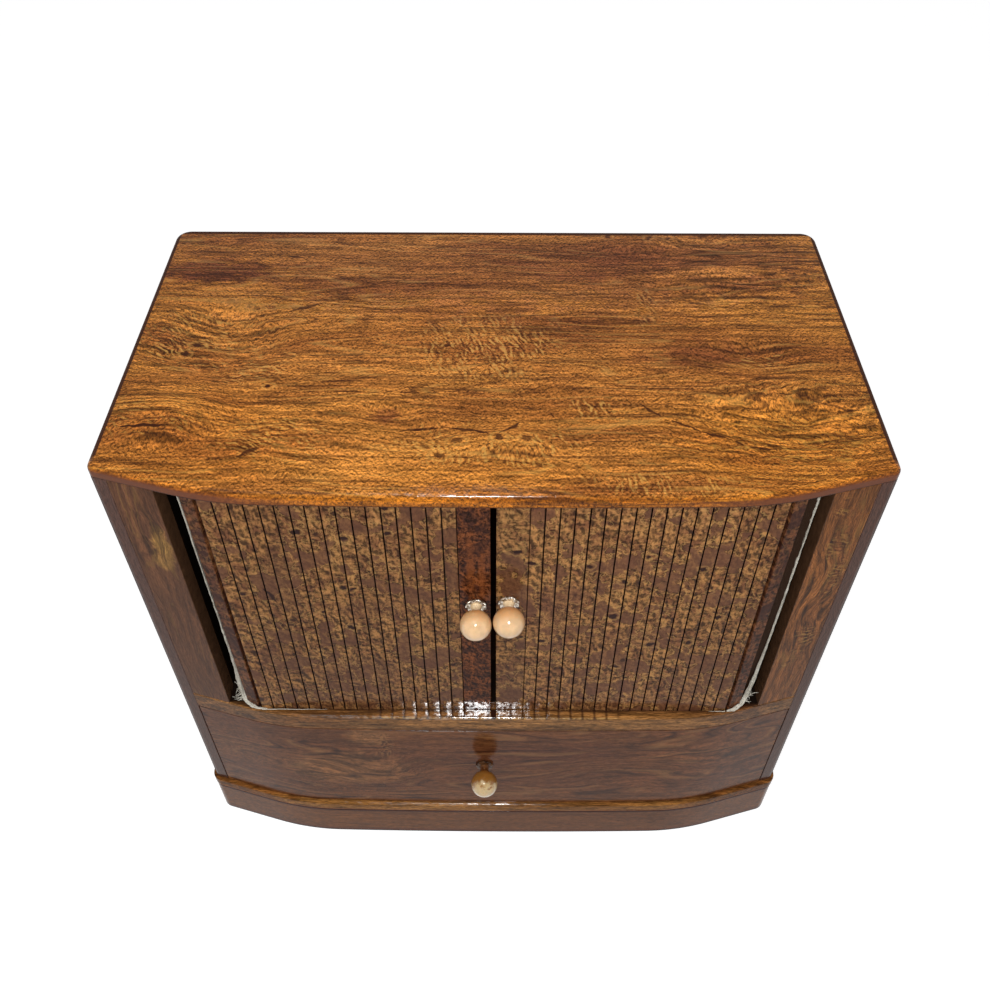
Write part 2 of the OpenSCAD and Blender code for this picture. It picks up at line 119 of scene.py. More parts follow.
class Nodes:
    """Adds nodes to one node tree and links them."""

    def __init__(self, tree: Tree) -> None:
        """Starts on an empty tree.

        Args:
            tree: The tree of a material, a world or a group.
        """
        self.tree = tree
        self.count = 0

    def add(self, kind: str, inputs: Optional[dict[Any, Source]] = None, **settings: Any) -> Node:
        """Adds one node.

        Args:
            kind: Blender's name of the node type, without its ShaderNode prefix.
            inputs: Sockets by name or index, each given a socket to link or a constant.
            settings: Properties of the node.

        Returns:
            The new node.
        """
        node = self.tree.nodes.new("ShaderNode" + kind)
        self.count += 1
        node.location = (180 * (self.count % 12), -260 * (self.count // 12))
        for key, value in settings.items():
            setattr(node, key, value)
        for key, value in (inputs or {}).items():
            self.feed(node.inputs[key], value)
        return node

    def feed(self, socket: Socket, value: Source) -> None:
        """Links a socket to another, or gives it a constant.

        Args:
            socket: The input that is fed.
            value: The socket to link, or the constant.
        """
        if isinstance(value, Socket):
            self.tree.links.new(value, socket)
        elif isinstance(value, tuple) and socket.type == "RGBA":
            socket.default_value = (*value, 1.0)
        else:
            socket.default_value = value

    def split(self, vector: Source) -> tuple[Socket, ...]:
        """The three parts of a vector."""
        return tuple(self.add("SeparateXYZ", {0: vector}).outputs)

    def coords(self, along: Along = Along.X, shift: Point = (0.0, 0.0, 0.0)) -> Socket:
        """Object coordinates with the grain's axis first, moved by a shift.

        Args:
            along: The axis that comes first.
            shift: Distance that the pattern moves.

        Returns:
            The vector socket.
        """
        here = self.add("TexCoord").outputs["Object"]
        if along is not Along.X:
            axes = dict(zip("xyz", self.split(here)))
            here = self.add("CombineXYZ", {i: axes[a] for i, a in enumerate(along.value)}).outputs[0]
        return self.stretch(here, (1.0, 1.0, 1.0), shift)

    def stretch(self, vector: Source, scale: Point, shift: Point = (0.0, 0.0, 0.0)) -> Socket:
        """A vector scaled and moved by a Mapping node."""
        return self.add("Mapping", {"Vector": vector, "Scale": scale, "Location": shift}).outputs[0]

    def turned(self, vector: Source, degrees: float) -> Socket:
        """A vector turned about its third axis."""
        rotation = (0.0, 0.0, math.radians(degrees))
        return self.add("Mapping", {"Vector": vector, "Rotation": rotation}).outputs[0]

    def vector(self, operation: str, a: Source, b: Source = (0.0, 0.0, 0.0)) -> Socket:
        """The vector result of a Vector Math node."""
        return self.add("VectorMath", {0: a, 1: b}, operation=operation).outputs[0]

    def scaled(self, vector: Source, factor: Source) -> Socket:
        """A vector times a number."""
        return self.add("VectorMath", {0: vector, "Scale": factor}, operation="SCALE").outputs[0]

    def dot(self, a: Source, b: Source) -> Socket:
        """The dot product of two vectors."""
        return self.add("VectorMath", {0: a, 1: b}, operation="DOT_PRODUCT").outputs["Value"]

    def size(self, vector: Source) -> Socket:
        """The length of a vector."""
        return self.add("VectorMath", {0: vector}, operation="LENGTH").outputs["Value"]

    def noise(self, vector: Source, scale: float, detail: float, rough: float, warp: float = 0.0) -> Socket:
        """The value of a noise texture."""
        inputs = {"Vector": vector, "Scale": scale, "Detail": detail, "Roughness": rough, "Distortion": warp}
        return self.add("TexNoise", inputs).outputs[0]

    def drift(self, vector: Source, scale: Point, reach: Source, detail: float = 2.0) -> Socket:
        """A vector pushed about by a soft coloured noise.

        Args:
            vector: The vector.
            scale: The noise's scale along each axis.
            reach: How far the noise pushes, in metres.
            detail: The noise's detail.

        Returns:
            The pushed vector.
        """
        inputs = {"Vector": self.stretch(vector, scale), "Scale": 1.0, "Detail": detail}
        push = self.add("TexNoise", inputs).outputs[1]
        push = self.scaled(self.vector("SUBTRACT", push, (0.5, 0.5, 0.5)), reach)
        return self.vector("ADD", vector, push)

    def math(self, operation: str, a: Source, b: Source = 0.0, clamp: bool = False) -> Socket:
        """The result of a Math node."""
        return self.add("Math", {0: a, 1: b}, operation=operation, use_clamp=clamp).outputs[0]

    def times(self, *values: Source) -> Socket:
        """The product of several numbers.

        Args:
            values: Sockets or constants, of which the first is used as it is.

        Returns:
            The socket of the last product.
        """
        total = values[0]
        for value in values[1:]:
            total = self.math("MULTIPLY", total, value)
        return total

    def band(self, value: Source, low: float, high: float, start: Source = 0.0, end: Source = 1.0) -> Socket:
        """Eases from start to end as value goes from low to high."""
        inputs = {"Value": value, "From Min": low, "From Max": high, "To Min": start, "To Max": end}
        return self.add("MapRange", inputs, interpolation_type="SMOOTHSTEP").outputs[0]

    def line(self, value: Source, middle: float, width: float) -> Socket:
        """One where value is at the middle, easing to zero at width on both sides."""
        off = self.math("ABSOLUTE", self.math("SUBTRACT", value, middle))
        return self.band(off, 0.0, width, 1.0, 0.0)

    def mix(self, share: Source, a: Source, b: Source, blend: str = "MIX") -> Socket:
        """Two colours mixed by a share.

        Args:
            share: How much of the second colour there is.
            a: The first colour.
            b: The second colour.
            blend: Blender's name of the blend mode.

        Returns:
            The mixed colour.
        """
        node = self.add("Mix", data_type="RGBA", blend_type=blend, clamp_factor=True)
        self.feed(node.inputs[0], share)
        self.feed(node.inputs[6], a)
        self.feed(node.inputs[7], b)
        return node.outputs[2]

    def shade(self, colour: Source, amount: Source) -> Socket:
        """A colour multiplied by a grey amount."""
        return self.mix(1.0, colour, amount, "MULTIPLY")

    def light(self, colour: Source, relief: Source, depth: Source) -> Socket:
        """A colour made lighter and darker by a relief whose middle is a half."""
        swing = self.times(self.math("SUBTRACT", relief, 0.5), depth, 2.0)
        return self.shade(colour, self.math("ADD", swing, 1.0))

    def group(self, tree: Tree, inputs: Optional[dict[str, Source]] = None) -> Node:
        """Places a node group.

        Args:
            tree: The group's tree.
            inputs: Its inputs by name, each given a socket to link or a constant.

        Returns:
            The new node.
        """
        node = self.tree.nodes.new("ShaderNodeGroup")
        node.node_tree = tree
        for key, value in (inputs or {}).items():
            self.feed(node.inputs[key], value)
        return node

    def finish(self, body: Node) -> None:
        """Links a shader node to the tree's output."""
        end = self.add("OutputWorld" if body.type == "BACKGROUND" else "OutputMaterial")
        self.tree.links.new(body.outputs[0], end.inputs[0])


def new_material(name: str) -> tuple[Material, Nodes]:
    """Starts a material.

    Args:
        name: The material's name.

    Returns:
        The material with an empty tree, and the tree's tools.
    """
    material = bpy.data.materials.new(name)
    material.use_nodes = True
    material.node_tree.nodes.clear()
    return material, Nodes(material.node_tree)


def new_group(name: str, inputs: dict[str, Source], outputs: dict[str, str]) -> tuple[Nodes, dict, Callable]:
    """Starts a shader node group.

    Args:
        name: The group's name.
        inputs: Each input's name and default, a tuple for a vector and a number for a value.
        outputs: Each output's name and socket type.

    Returns:
        The tree's tools, its input sockets by name, and a function that sets the outputs.
    """
    tree = bpy.data.node_groups.new(name, "ShaderNodeTree")
    for key, value in inputs.items():
        kind = "NodeSocketVector" if isinstance(value, tuple) else "NodeSocketFloat"
        tree.interface.new_socket(key, in_out="INPUT", socket_type=kind).default_value = value
    for key, kind in outputs.items():
        tree.interface.new_socket(key, in_out="OUTPUT", socket_type="NodeSocket" + kind)
    nodes = Nodes(tree)
    start = tree.nodes.new("NodeGroupInput")
    end = tree.nodes.new("NodeGroupOutput")

    def put_out(**values: Socket) -> Tree:
        """Links each output by its name.

        Args:
            values: The socket for each output.

        Returns:
            The group's tree.
        """
        for key, value in values.items():
            tree.links.new(value, end.inputs[key])
        return tree

    return nodes, {key: start.outputs[key] for key in inputs}, put_out


NOWHERE = (0.0, 0.0, 0.0)
EVEN = (1.0, 1.0, 1.0)


class Effects:
    """The node groups that the finishes share, each built once.

    Each method below the first returns a group's tree. Masks go from zero to one, and a Rag of a half
    leaves a mask's rim as it is.
    """

    def __init__(self) -> None:
        """Builds every group."""
        self.patch = self.soft_patch()
        self.stroke = self.dark_stroke()
        self.eye = self.dark_eye()
        self.bulge = self.grain_bulge()
        self.relief = self.side_relief()
        self.grain = self.fine_grain()
        self.burr = self.burr_figure()
        self.polish = self.french_polish()
        self.wear = self.edge_wear()

    def soft_patch(self) -> Tree:
        """One inside an ellipsoid with a ragged rim, and zero outside.

        Returns:
            The group that gives a Mask.
        """
        given_in = {"Vector": NOWHERE, "Centre": NOWHERE, "Size": EVEN, "Rag": 0.5}
        n, given, out = new_group("soft_patch", given_in, {"Mask": "Float"})
        part = n.vector("DIVIDE", n.vector("SUBTRACT", given["Vector"], given["Centre"]), given["Size"])
        ragged = n.times(n.math("SUBTRACT", given["Rag"], 0.5), 1.1)
        return out(Mask=n.band(n.math("ADD", n.size(part), ragged), 0.4, 1.05, 1.0, 0.0))

    def dark_stroke(self) -> Tree:
        """One along a line that tapers to both ends, with a ragged rim.

        Returns:
            The group that gives a Mask.
        """
        given_in = {"Vector": NOWHERE, "From": NOWHERE, "To": EVEN, "Width": 0.001, "Rag": 0.5}
        n, given, out = new_group("dark_stroke", given_in, {"Mask": "Float"})
        run = n.vector("SUBTRACT", given["To"], given["From"])
        off = n.vector("SUBTRACT", given["Vector"], given["From"])
        along = n.math("DIVIDE", n.dot(off, run), n.dot(run, run), clamp=True)
        away = n.size(n.vector("SUBTRACT", off, n.scaled(run, along)))
        middle = n.math("ABSOLUTE", n.math("SUBTRACT", along, 0.5))
        width = n.times(given["Width"], n.band(middle, 0.1, 0.5, 1.0, 0.3))
        ragged = n.times(n.math("SUBTRACT", given["Rag"], 0.5), 1.6)
        return out(Mask=n.band(n.math("ADD", n.math("DIVIDE", away, width), ragged), 0.45, 1.1, 1.0, 0.0))

    def dark_eye(self) -> Tree:
        """A dark pip and the pale ring round it.

        Returns:
            The group that gives the masks Pip and Ring.
        """
        given_in = {"Vector": NOWHERE, "Centre": NOWHERE, "Size": EVEN, "Rag": 0.5}
        n, given, out = new_group("dark_eye", given_in, {"Pip": "Float", "Ring": "Float"})
        part = n.vector("DIVIDE", n.vector("SUBTRACT", given["Vector"], given["Centre"]), given["Size"])
        away = n.math("ADD", n.size(part), n.times(n.math("SUBTRACT", given["Rag"], 0.5), 1.2))
        return out(Pip=n.band(away, 0.4, 0.75, 1.0, 0.0), Ring=n.line(away, 1.15, 0.4))

    def grain_bulge(self) -> Tree:
        """Pushes the grain aside inside an ellipsoid, as a knot does.

        Returns:
            The group that gives a Vector.
        """
        given_in = {"Vector": NOWHERE, "Centre": NOWHERE, "Size": EVEN, "Push": NOWHERE}
        n, given, out = new_group("grain_bulge", given_in, {"Vector": "Vector"})
        part = n.vector("DIVIDE", n.vector("SUBTRACT", given["Vector"], given["Centre"]), given["Size"])
        fall = n.math("MAXIMUM", n.math("SUBTRACT", 1.0, n.dot(part, part)), 0.0)
        return out(Vector=n.vector("ADD", given["Vector"], n.scaled(given["Push"], n.times(fall, fall))))

    def side_relief(self) -> Tree:
        """Relief lit from one side: the difference of one noise at two places, about a half.

        Returns:
            The group that gives a Relief.
        """
        given_in = {"Vector": NOWHERE, "Scale": EVEN, "Step": (0.0, 0.35, 0.2), "Contrast": 3.0}
        n, given, out = new_group("side_relief", given_in, {"Relief": "Float"})
        here = n.vector("MULTIPLY", given["Vector"], given["Scale"])
        there = n.vector("ADD", here, given["Step"])
        slope = n.math("SUBTRACT", n.noise(here, 1.0, 2.0, 0.55, 0.3), n.noise(there, 1.0, 2.0, 0.55, 0.3))
        return out(Relief=n.math("ADD", n.times(slope, given["Contrast"]), 0.5, clamp=True))

    def fine_grain(self) -> Tree:
        """Growth lines, broad streaks and pores of wood whose grain follows the vector's first axis.

        Returns:
            The group that gives a mask for each part of the grain.
        """
        given_in = {"Vector": NOWHERE, "Line Scale": 170.0, "Ripple Scale": EVEN, "Streak Scale": EVEN}
        parts = ("Lines", "Streaks", "Pores", "Trough", "Crest")
        n, given, out = new_group("fine_grain", given_in, {part: "Float" for part in parts})
        thin = n.scaled(n.stretch(given["Vector"], (0.022, 1.0, 1.0)), given["Line Scale"])
        rings = n.noise(thin, 1.0, 3.0, 0.6)
        streaks = n.noise(n.vector("MULTIPLY", given["Vector"], given["Streak Scale"]), 1.0, 4.0, 0.62)
        pores = n.noise(n.stretch(given["Vector"], (170.0, 2300.0, 2300.0)), 1.0, 1.0, 0.5)
        swell = n.noise(n.vector("MULTIPLY", given["Vector"], given["Ripple Scale"]), 1.0, 1.5, 0.5)
        ripple = n.math("FRACT", n.times(swell, 9.0))
        come = n.band(n.noise(n.stretch(given["Vector"], (24.0, 90.0, 90.0)), 1.0, 2.0, 0.5), 0.42, 0.6)
        return out(
            Lines=n.line(rings, 0.5, 0.03),
            Streaks=n.band(streaks, 0.32, 0.68),
            Pores=n.band(pores, 0.6, 0.74),
            Trough=n.times(n.line(ripple, 0.14, 0.13), come),
            Crest=n.times(n.line(ripple, 0.42, 0.15), come),
        )

    def burr_figure(self) -> Tree:
        """Burr wood: smooth islands with crisp outlines in a field of curls, flecks and scattered pips.

        Returns:
            The group that gives a mask for each part of the figure.
        """
        parts = ("Island", "Outline", "Edge", "Gold", "Curl", "Crest", "Fleck", "Pip")
        given_in = {"Vector": NOWHERE, "Scale": 1.0}
        n, given, out = new_group("burr_figure", given_in, {part: "Float" for part in parts})
        here = n.scaled(given["Vector"], given["Scale"])
        soft = n.drift(here, (85.0, 85.0, 85.0), 0.004, 3.0)
        bent = n.drift(here, (85.0, 85.0, 85.0), 0.009, 3.0)
        cloud = n.noise(soft, 72.0, 4.0, 0.55)
        gold = n.noise(soft, 175.0, 5.0, 0.66)
        swirl = n.noise(bent, 150.0, 2.0, 0.5, 1.2)
        curl = n.math("FRACT", n.times(swirl, 5.0))
        come = n.band(n.noise(bent, 48.0, 2.0, 0.5), 0.46, 0.6)
        inputs = {"Vector": soft, "Scale": (520.0, 520.0, 350.0), "Step": (0.36, 0.2, 0.36), "Contrast": 3.6}
        fleck = n.group(self.relief, inputs).outputs[0]
        cells = n.add("TexVoronoi", {"Vector": soft, "Scale": 120.0, "Randomness": 1.0})
        chosen = n.band(n.split(cells.outputs["Color"])[0], 0.8, 0.83)
        pip = n.times(n.band(cells.outputs["Distance"], 0.1, 0.2, 1.0, 0.0), chosen)
        return out(
            Island=n.band(cloud, 0.545, 0.585),
            Outline=n.line(cloud, 0.537, 0.012),
            Edge=n.line(cloud, 0.556, 0.01),
            Gold=n.band(gold, 0.36, 0.64),
            Curl=n.line(curl, 0.1, 0.09),
            Crest=n.times(n.line(curl, 0.5, 0.1), come),
            Fleck=fleck,
            Pip=pip,
        )

    def french_polish(self) -> Tree:
        """Roughness and relief of a hand-rubbed gloss finish with faint smudges.

        Returns:
            The group that gives a Roughness and a Height.
        """
        given_in = {"Vector": NOWHERE, "Gloss": 0.07, "Smudge": 0.1}
        n, given, out = new_group("french_polish", given_in, {"Roughness": "Float", "Height": "Float"})
        smudge = n.band(n.noise(given["Vector"], 26.0, 3.0, 0.65), 0.45, 0.75)
        rubbed = n.noise(n.stretch(given["Vector"], (25.0, 1400.0, 1400.0)), 1.0, 1.0, 0.5)
        rough = n.math("ADD", given["Gloss"], n.times(smudge, given["Smudge"]))
        rough = n.math("ADD", rough, n.times(rubbed, 0.03), clamp=True)
        peel = n.noise(given["Vector"], 240.0, 1.0, 0.5)
        swell = n.noise(given["Vector"], 38.0, 1.0, 0.5)
        return out(Roughness=rough, Height=n.math("ADD", n.times(peel, 0.3), swell))

    def edge_wear(self) -> Tree:
        """One along the arrises and in the creases of a piece, broken up by noise: the mask of painted shade,
        a dark outline on the arrises and shade in the creases.

        Returns:
            The group that gives a Mask.
        """
        n, given, out = new_group("edge_wear", {"Vector": NOWHERE, "Reach": 0.0007}, {"Mask": "Float"})
        soft = n.add("Bevel", {"Radius": given["Reach"]}, samples=4).outputs[0]
        same = n.dot(soft, n.add("NewGeometry").outputs["Normal"])
        edge = n.band(same, 0.8, 0.99, 1.0, 0.0)
        return out(Mask=n.times(edge, n.band(n.noise(given["Vector"], 160.0, 3.0, 0.6), 0.3, 0.6)))


# Finishes


@dataclass(frozen=True)
class Mark:
    """An ellipsoid of the surface with a figure of its own, in millimetres from the front corners."""

    centre: Point
    size: Point
    share: float = 1.0
    push: Point = (0.0, 0.0, 0.0)

    def inputs(self, vector: Source, **more: Source) -> dict[str, Source]:
        """The inputs of a group that draws the mark."""
        return {"Vector": vector, "Centre": placed(self.centre), "Size": metres(self.size), **more}


Marks = tuple[Mark, ...]


@dataclass(frozen=True)
class Stroke:
    """A dark line in the surface, in millimetres from the front corners."""

    start: Point
    end: Point
    width: float = 0.8
    share: float = 0.8


@dataclass(frozen=True)
class Band:
    """A level stripe that starts at one height, is full at another and stays so, in millimetres."""

    start: float
    full: float
    colour: Colour
    share: float = 0.9


@dataclass(frozen=True)
class Lacquer:
    """The gloss that lies over a wood."""

    gloss: float = 0.07
    smudge: float = 0.08
    ior: float = 1.18
    relief: float = 0.00006


QUILT_DEGREES = {"curls": 22.0, "ticks": 68.0}
QUILT_SCALE = {"curls": (190.0, 720.0, 720.0), "ticks": (210.0, 600.0, 600.0)}


@dataclass(frozen=True)
class WoodFinish:
    """A polished wood with straight or wavy grain and a few placed marks.

    Flames have a stronger relief, curls and ticks a quilt of bright and dark dashes, and glare a
    thicker lacquer. Stains, lights and tints change the colour, and bulges lead the grain aside.
    """

    name: str
    pale: Colour
    deep: Colour
    line: Colour = (0.03, 0.01, 0.006)
    shine: Colour = (0.5, 0.28, 0.1)
    along: Along = Along.X
    shift: Point = (0.0, 0.0, 0.0)
    waver: float = 0.006
    line_scale: float = 170.0
    line_share: float = 0.5
    pore_share: float = 0.4
    fibre: float = 0.25
    fibre_scale: Point = (300.0, 1250.0, 1250.0)
    ridge: float = 0.2
    ripple: float = 0.0
    ripple_scale: Point = (6.0, 60.0, 60.0)
    streak_scale: Point = (5.0, 75.0, 75.0)
    flames: Marks = ()
    curls: Marks = ()
    ticks: Marks = ()
    stains: Marks = ()
    lights: Marks = ()
    glare: Marks = ()
    strokes: tuple[Stroke, ...] = ()
    eyes: Marks = ()
    bulges: Marks = ()
    tints: tuple[tuple[Mark, Colour], ...] = ()
    bands: tuple[Band, ...] = ()
    lacquer: Lacquer = field(default_factory=Lacquer)

    def marks(self, n: Nodes, effects: Effects, marks: Iterable[Mark], rag: Source) -> Source:
        """The joined mask of several marks.

        Args:
            n: The material's tree.
            effects: The shared groups.
            marks: The marks.
            rag: The noise that breaks up their rims.

        Returns:
            The highest mask at each place, or zero if there are no marks.
        """
        total: Source = 0.0
        for mark in marks:
            mask = n.group(effects.patch, mark.inputs(n.coords(), Rag=rag)).outputs[0]
            total = n.math("MAXIMUM", total, n.times(mask, mark.share))
        return total

    def bent(self, n: Nodes, effects: Effects, flames: Source) -> Socket:
        """The grain's coordinates, wandering and led round the knots.

        Args:
            n: The material's tree.
            effects: The shared groups.
            flames: The mask of the places where the grain wanders more.

        Returns:
            The vector socket, with the grain's axis first.
        """
        here = n.coords()
        for mark in self.bulges:
            here = n.group(effects.bulge, mark.inputs(here, Push=metres(mark.push))).outputs[0]
        if self.along is not Along.X:
            axes = dict(zip("xyz", n.split(here)))
            here = n.add("CombineXYZ", {i: axes[a] for i, a in enumerate(self.along.value)}).outputs[0]
        here = n.stretch(here, EVEN, self.shift)
        reach = n.math("ADD", n.times(flames, 0.022), self.waver)
        return n.drift(here, (9.0, 24.0, 24.0), reach, 3.0)

    def figured(self, n: Nodes, effects: Effects, colour: Source, rag: Source) -> Source:
        """The colour with its placed strokes and eyes.

        Args:
            n: The material's tree.
            effects: The shared groups.
            colour: The wood's colour.
            rag: The noise that breaks up their rims.

        Returns:
            The new colour.
        """
        here = n.drift(n.coords(), (160.0, 160.0, 160.0), 0.0035)
        for stroke in self.strokes:
            inputs = {"Vector": here, "From": placed(stroke.start), "To": placed(stroke.end),
                      "Width": stroke.width * MM, "Rag": rag}
            mask = n.group(effects.stroke, inputs).outputs[0]
            colour = n.mix(n.times(mask, stroke.share), colour, self.line)
        for eye in self.eyes:
            parts = n.group(effects.eye, eye.inputs(here, Rag=rag)).outputs
            colour = n.mix(n.times(parts["Ring"], 0.35 * eye.share), colour, self.shine)
            colour = n.mix(n.times(parts["Pip"], eye.share), colour, self.line)
        return colour

    def wood(self, n: Nodes, effects: Effects) -> Look:
        """The bare wood.

        Args:
            n: The material's tree.
            effects: The shared groups.

        Returns:
            The colour, and the height of the grain.
        """
        rag = n.noise(n.coords(), 170.0, 3.0, 0.62)
        flames = self.marks(n, effects, self.flames, rag)
        here = self.bent(n, effects, flames)
        given = {"Vector": here, "Line Scale": self.line_scale, "Ripple Scale": self.ripple_scale,
                 "Streak Scale": self.streak_scale}
        grain = n.group(effects.grain, given).outputs
        colour = n.mix(grain["Streaks"], self.pale, self.deep)
        stain = self.marks(n, effects, self.stains, rag)
        stain = n.times(stain, n.band(grain["Streaks"], 0.0, 0.7, 0.35, 1.0))
        colour = n.mix(stain, colour, self.stain_and_shade_colour())
        colour = n.mix(self.marks(n, effects, self.lights, rag), colour, self.shine)
        fibre = n.group(effects.relief, {"Vector": here, "Scale": self.fibre_scale}).outputs[0]
        inputs = {"Vector": here, "Scale": (42.0, 380.0, 380.0), "Step": (0.12, 0.4, 0.3)}
        ridge = n.group(effects.relief, inputs).outputs[0]
        colour = n.light(colour, fibre, self.fibre)
        colour = n.light(colour, ridge, n.math("ADD", n.times(flames, 0.35), self.ridge))
        for kind, marks in (("curls", self.curls), ("ticks", self.ticks)):
            if marks:
                patches = self.marks(n, effects, marks, rag)
                share = n.times(patches, n.band(n.noise(n.coords(), 110.0, 3.0, 0.6), 0.4, 0.56))
                led = n.drift(n.turned(here, QUILT_DEGREES[kind]), (70.0, 70.0, 70.0), 0.007, 2.0)
                given = {"Vector": led, "Scale": QUILT_SCALE[kind], "Step": (0.1, 0.55, 0.0), "Contrast": 3.2}
                quilt = n.group(effects.relief, given).outputs[0]
                colour = n.mix(n.times(share, n.band(quilt, 0.6, 0.95), 0.8), colour, self.shine)
                colour = n.mix(n.times(share, n.band(quilt, 0.36, 0.08), 0.75), colour, self.line)
        colour = n.mix(n.times(grain["Crest"], 0.6 * self.ripple), colour, self.shine)
        colour = n.mix(n.times(grain["Trough"], self.ripple), colour, self.line)
        colour = n.mix(n.times(grain["Lines"], self.line_share), colour, self.line)
        colour = n.mix(n.times(grain["Pores"], self.pore_share), colour, self.line)
        colour = self.figured(n, effects, colour, rag)
        for mark, tint in self.tints:
            colour = n.mix(self.marks(n, effects, (mark,), rag), colour, tint, "MULTIPLY")
        height = n.split(n.coords())[2]
        for band in self.bands:
            share = n.band(height, band.start * MM, band.full * MM, 0.0, band.share)
            colour = n.mix(share, colour, band.colour)
        return colour, fibre

    def stain_and_shade_colour(self) -> Colour:
        """The colour of the stains, and of the top's painted shade on its front edge: the deep colour, darker
        and towards purple.
        """
        red, green, blue = self.deep
        return 0.55 * red, 0.45 * green, 0.75 * blue

    def coat(self, n: Nodes, effects: Effects) -> Source:
        """How thick the extra lacquer is: only where it has run into a corner.

        Args:
            n: The material's tree.
            effects: The shared groups.

        Returns:
            The coat's weight.
        """
        if not self.glare:
            return 0.0
        broken = n.band(n.noise(n.coords(), 480.0, 2.0, 0.6), 0.42, 0.5, 0.08, 1.0)
        return n.times(self.marks(n, effects, self.glare, n.noise(n.coords(), 520.0, 2.0, 0.6)), broken)

    def dull(self, n: Nodes) -> Source:
        """How much rougher than its lacquer the surface is: nowhere."""
        return 0.0


@dataclass(frozen=True)
class TopFinish(WoodFinish):
    """The top's veneer, with painted shade round its rim, towards the sides on its front edge, and along its
    lower edge.
    """

    face: float = 0.27
    under: float = 0.264
    rounding: float = 0.003
    half_width: float = 0.15
    rounding_tint: Colour = (0.95, 0.8, 0.3)

    def rim(self, n: Nodes) -> Source:
        """One on the rounding behind and at the sides: the mask of the rim's painted shade.

        Args:
            n: The material's tree.

        Returns:
            The mask.
        """
        across, back, up = n.split(n.coords())
        behind = (CORNER_Y + CASE_DEPTH) * MM - self.rounding
        outer = self.half_width - self.rounding
        aside = n.band(n.math("ABSOLUTE", across), outer, outer + 0.0005)
        low = n.math("MAXIMUM", n.band(up, self.face - 0.0001, self.face - 0.0004), aside)
        low = n.times(low, n.band(back, CORNER_Y * MM, CORNER_Y * MM + 0.006))
        return n.math("MAXIMUM", low, n.band(back, behind - 0.0014, behind - 0.0008))

    def dull(self, n: Nodes) -> Source:
        """How much rougher than its lacquer the surface is: along the rim."""
        return n.times(self.rim(n), 0.6)

    def wood(self, n: Nodes, effects: Effects) -> Look:
        """The bare veneer.

        Args:
            n: The material's tree.
            effects: The shared groups.

        Returns:
            The colour, and the height of the grain.
        """
        colour, height = super().wood(n, effects)
        across, back, up = n.split(n.coords())
        # Painted shade on the rounding behind and at the sides.
        colour = n.mix(n.times(self.rim(n), 0.97), colour, self.line)
        aside = n.band(n.math("ABSOLUTE", across), 0.05, 0.11)
        fore = n.band(back, CORNER_Y * MM, CORNER_Y * MM + 0.006, 1.0, 0.0)
        edge = n.times(n.band(up, self.face - 0.001, self.face - 0.0032), fore)
        rounded = n.times(n.band(up, self.face - 0.0003, self.face - 0.002), fore)
        colour = n.mix(rounded, colour, self.rounding_tint, "MULTIPLY")
        # Painted shade: the front edge darkens towards the sides.
        colour = n.mix(n.times(edge, aside, 0.95), colour, self.stain_and_shade_colour())
        # Painted shadow along the board's lower edge.
        low = n.band(up, self.under + 0.0002, self.under + 0.0009, 0.85, 0.0)
        return n.mix(low, colour, self.line), height


@dataclass(frozen=True)
class FrontEdgeFinish(WoodFinish):
    """A side's veneer, whose front edge is a darker strip, with painted shade as a dark outline along its
    outer arris.
    """

    strip: Colour = (0.1, 0.044, 0.03)
    outer: float = 0.15

    def arris(self, n: Nodes) -> Source:
        """One along the outer arris of the front edge: the mask of the painted dark outline.

        Args:
            n: The material's tree.

        Returns:
            The mask.
        """
        across, back = n.split(n.coords())[:2]
        outside = n.band(n.math("ABSOLUTE", across), self.outer - 0.0016, self.outer - 0.0009)
        return n.times(outside, n.band(back, (CORNER_Y + 2.4) * MM, (CORNER_Y + 4.2) * MM, 1.0, 0.0))

    def dull(self, n: Nodes) -> Source:
        """How much rougher than its lacquer the surface is: along the arris."""
        return n.times(self.arris(n), 0.6)

    def wood(self, n: Nodes, effects: Effects) -> Look:
        """The bare veneer.

        Args:
            n: The material's tree.
            effects: The shared groups.

        Returns:
            The colour, and the height of the grain.
        """
        colour, height = super().wood(n, effects)
        back = n.split(n.coords())[1]
        front = n.band(back, (CORNER_Y + 0.8) * MM, (CORNER_Y + 2.6) * MM, 1.0, 0.0)
        colour = n.mix(front, colour, n.light(self.strip, height, 0.35))
        # Painted shade: a dark outline along the outer arris.
        return n.mix(n.times(self.arris(n), 0.95), colour, self.line), height


@dataclass(frozen=True)
class StileFinish(WoodFinish):
    """A front stile's veneer, stained dark brown on the edge beside the doors, with painted shadow that makes
    that edge nearly black further back.
    """

    along: Along = Along.Z
    waver: float = 0.02
    line_scale: float = 120.0
    line_share: float = 0.25
    ripple_scale: Point = (8.0, 70.0, 70.0)
    lacquer: Lacquer = field(default_factory=lambda: Lacquer(ior=1.145))
    edge_x: float = 0.1246
    reveal: Colour = (0.1, 0.048, 0.024)
    black_y: float = 2.2
    # Colour of the painted shadow on that edge, behind black_y.
    black: Colour = (0.006, 0.004, 0.003)

    def wood(self, n: Nodes, effects: Effects) -> Look:
        """The bare veneer.

        Args:
            n: The material's tree.
            effects: The shared groups.

        Returns:
            The colour, and the height of the grain.
        """
        colour, height = super().wood(n, effects)
        across, back = n.split(n.coords())[:2]
        inwards = n.math("ABSOLUTE", across)
        chips = n.noise(n.coords(), 300.0, 3.0, 0.6)
        inwards = n.math("ADD", inwards, n.times(n.math("SUBTRACT", chips, 0.5), 0.0006))
        start = (CORNER_Y + self.black_y) * MM
        reveal = n.light(self.reveal, chips, 0.6)
        # Painted shadow: behind black_y the stained edge turns nearly black.
        turned_in = n.mix(n.band(back, start, start + 0.0007), reveal, self.black)
        edge = n.band(inwards, self.edge_x + 0.0001, self.edge_x + 0.0004, 1.0, 0.0)
        return n.mix(edge, colour, turned_in), height


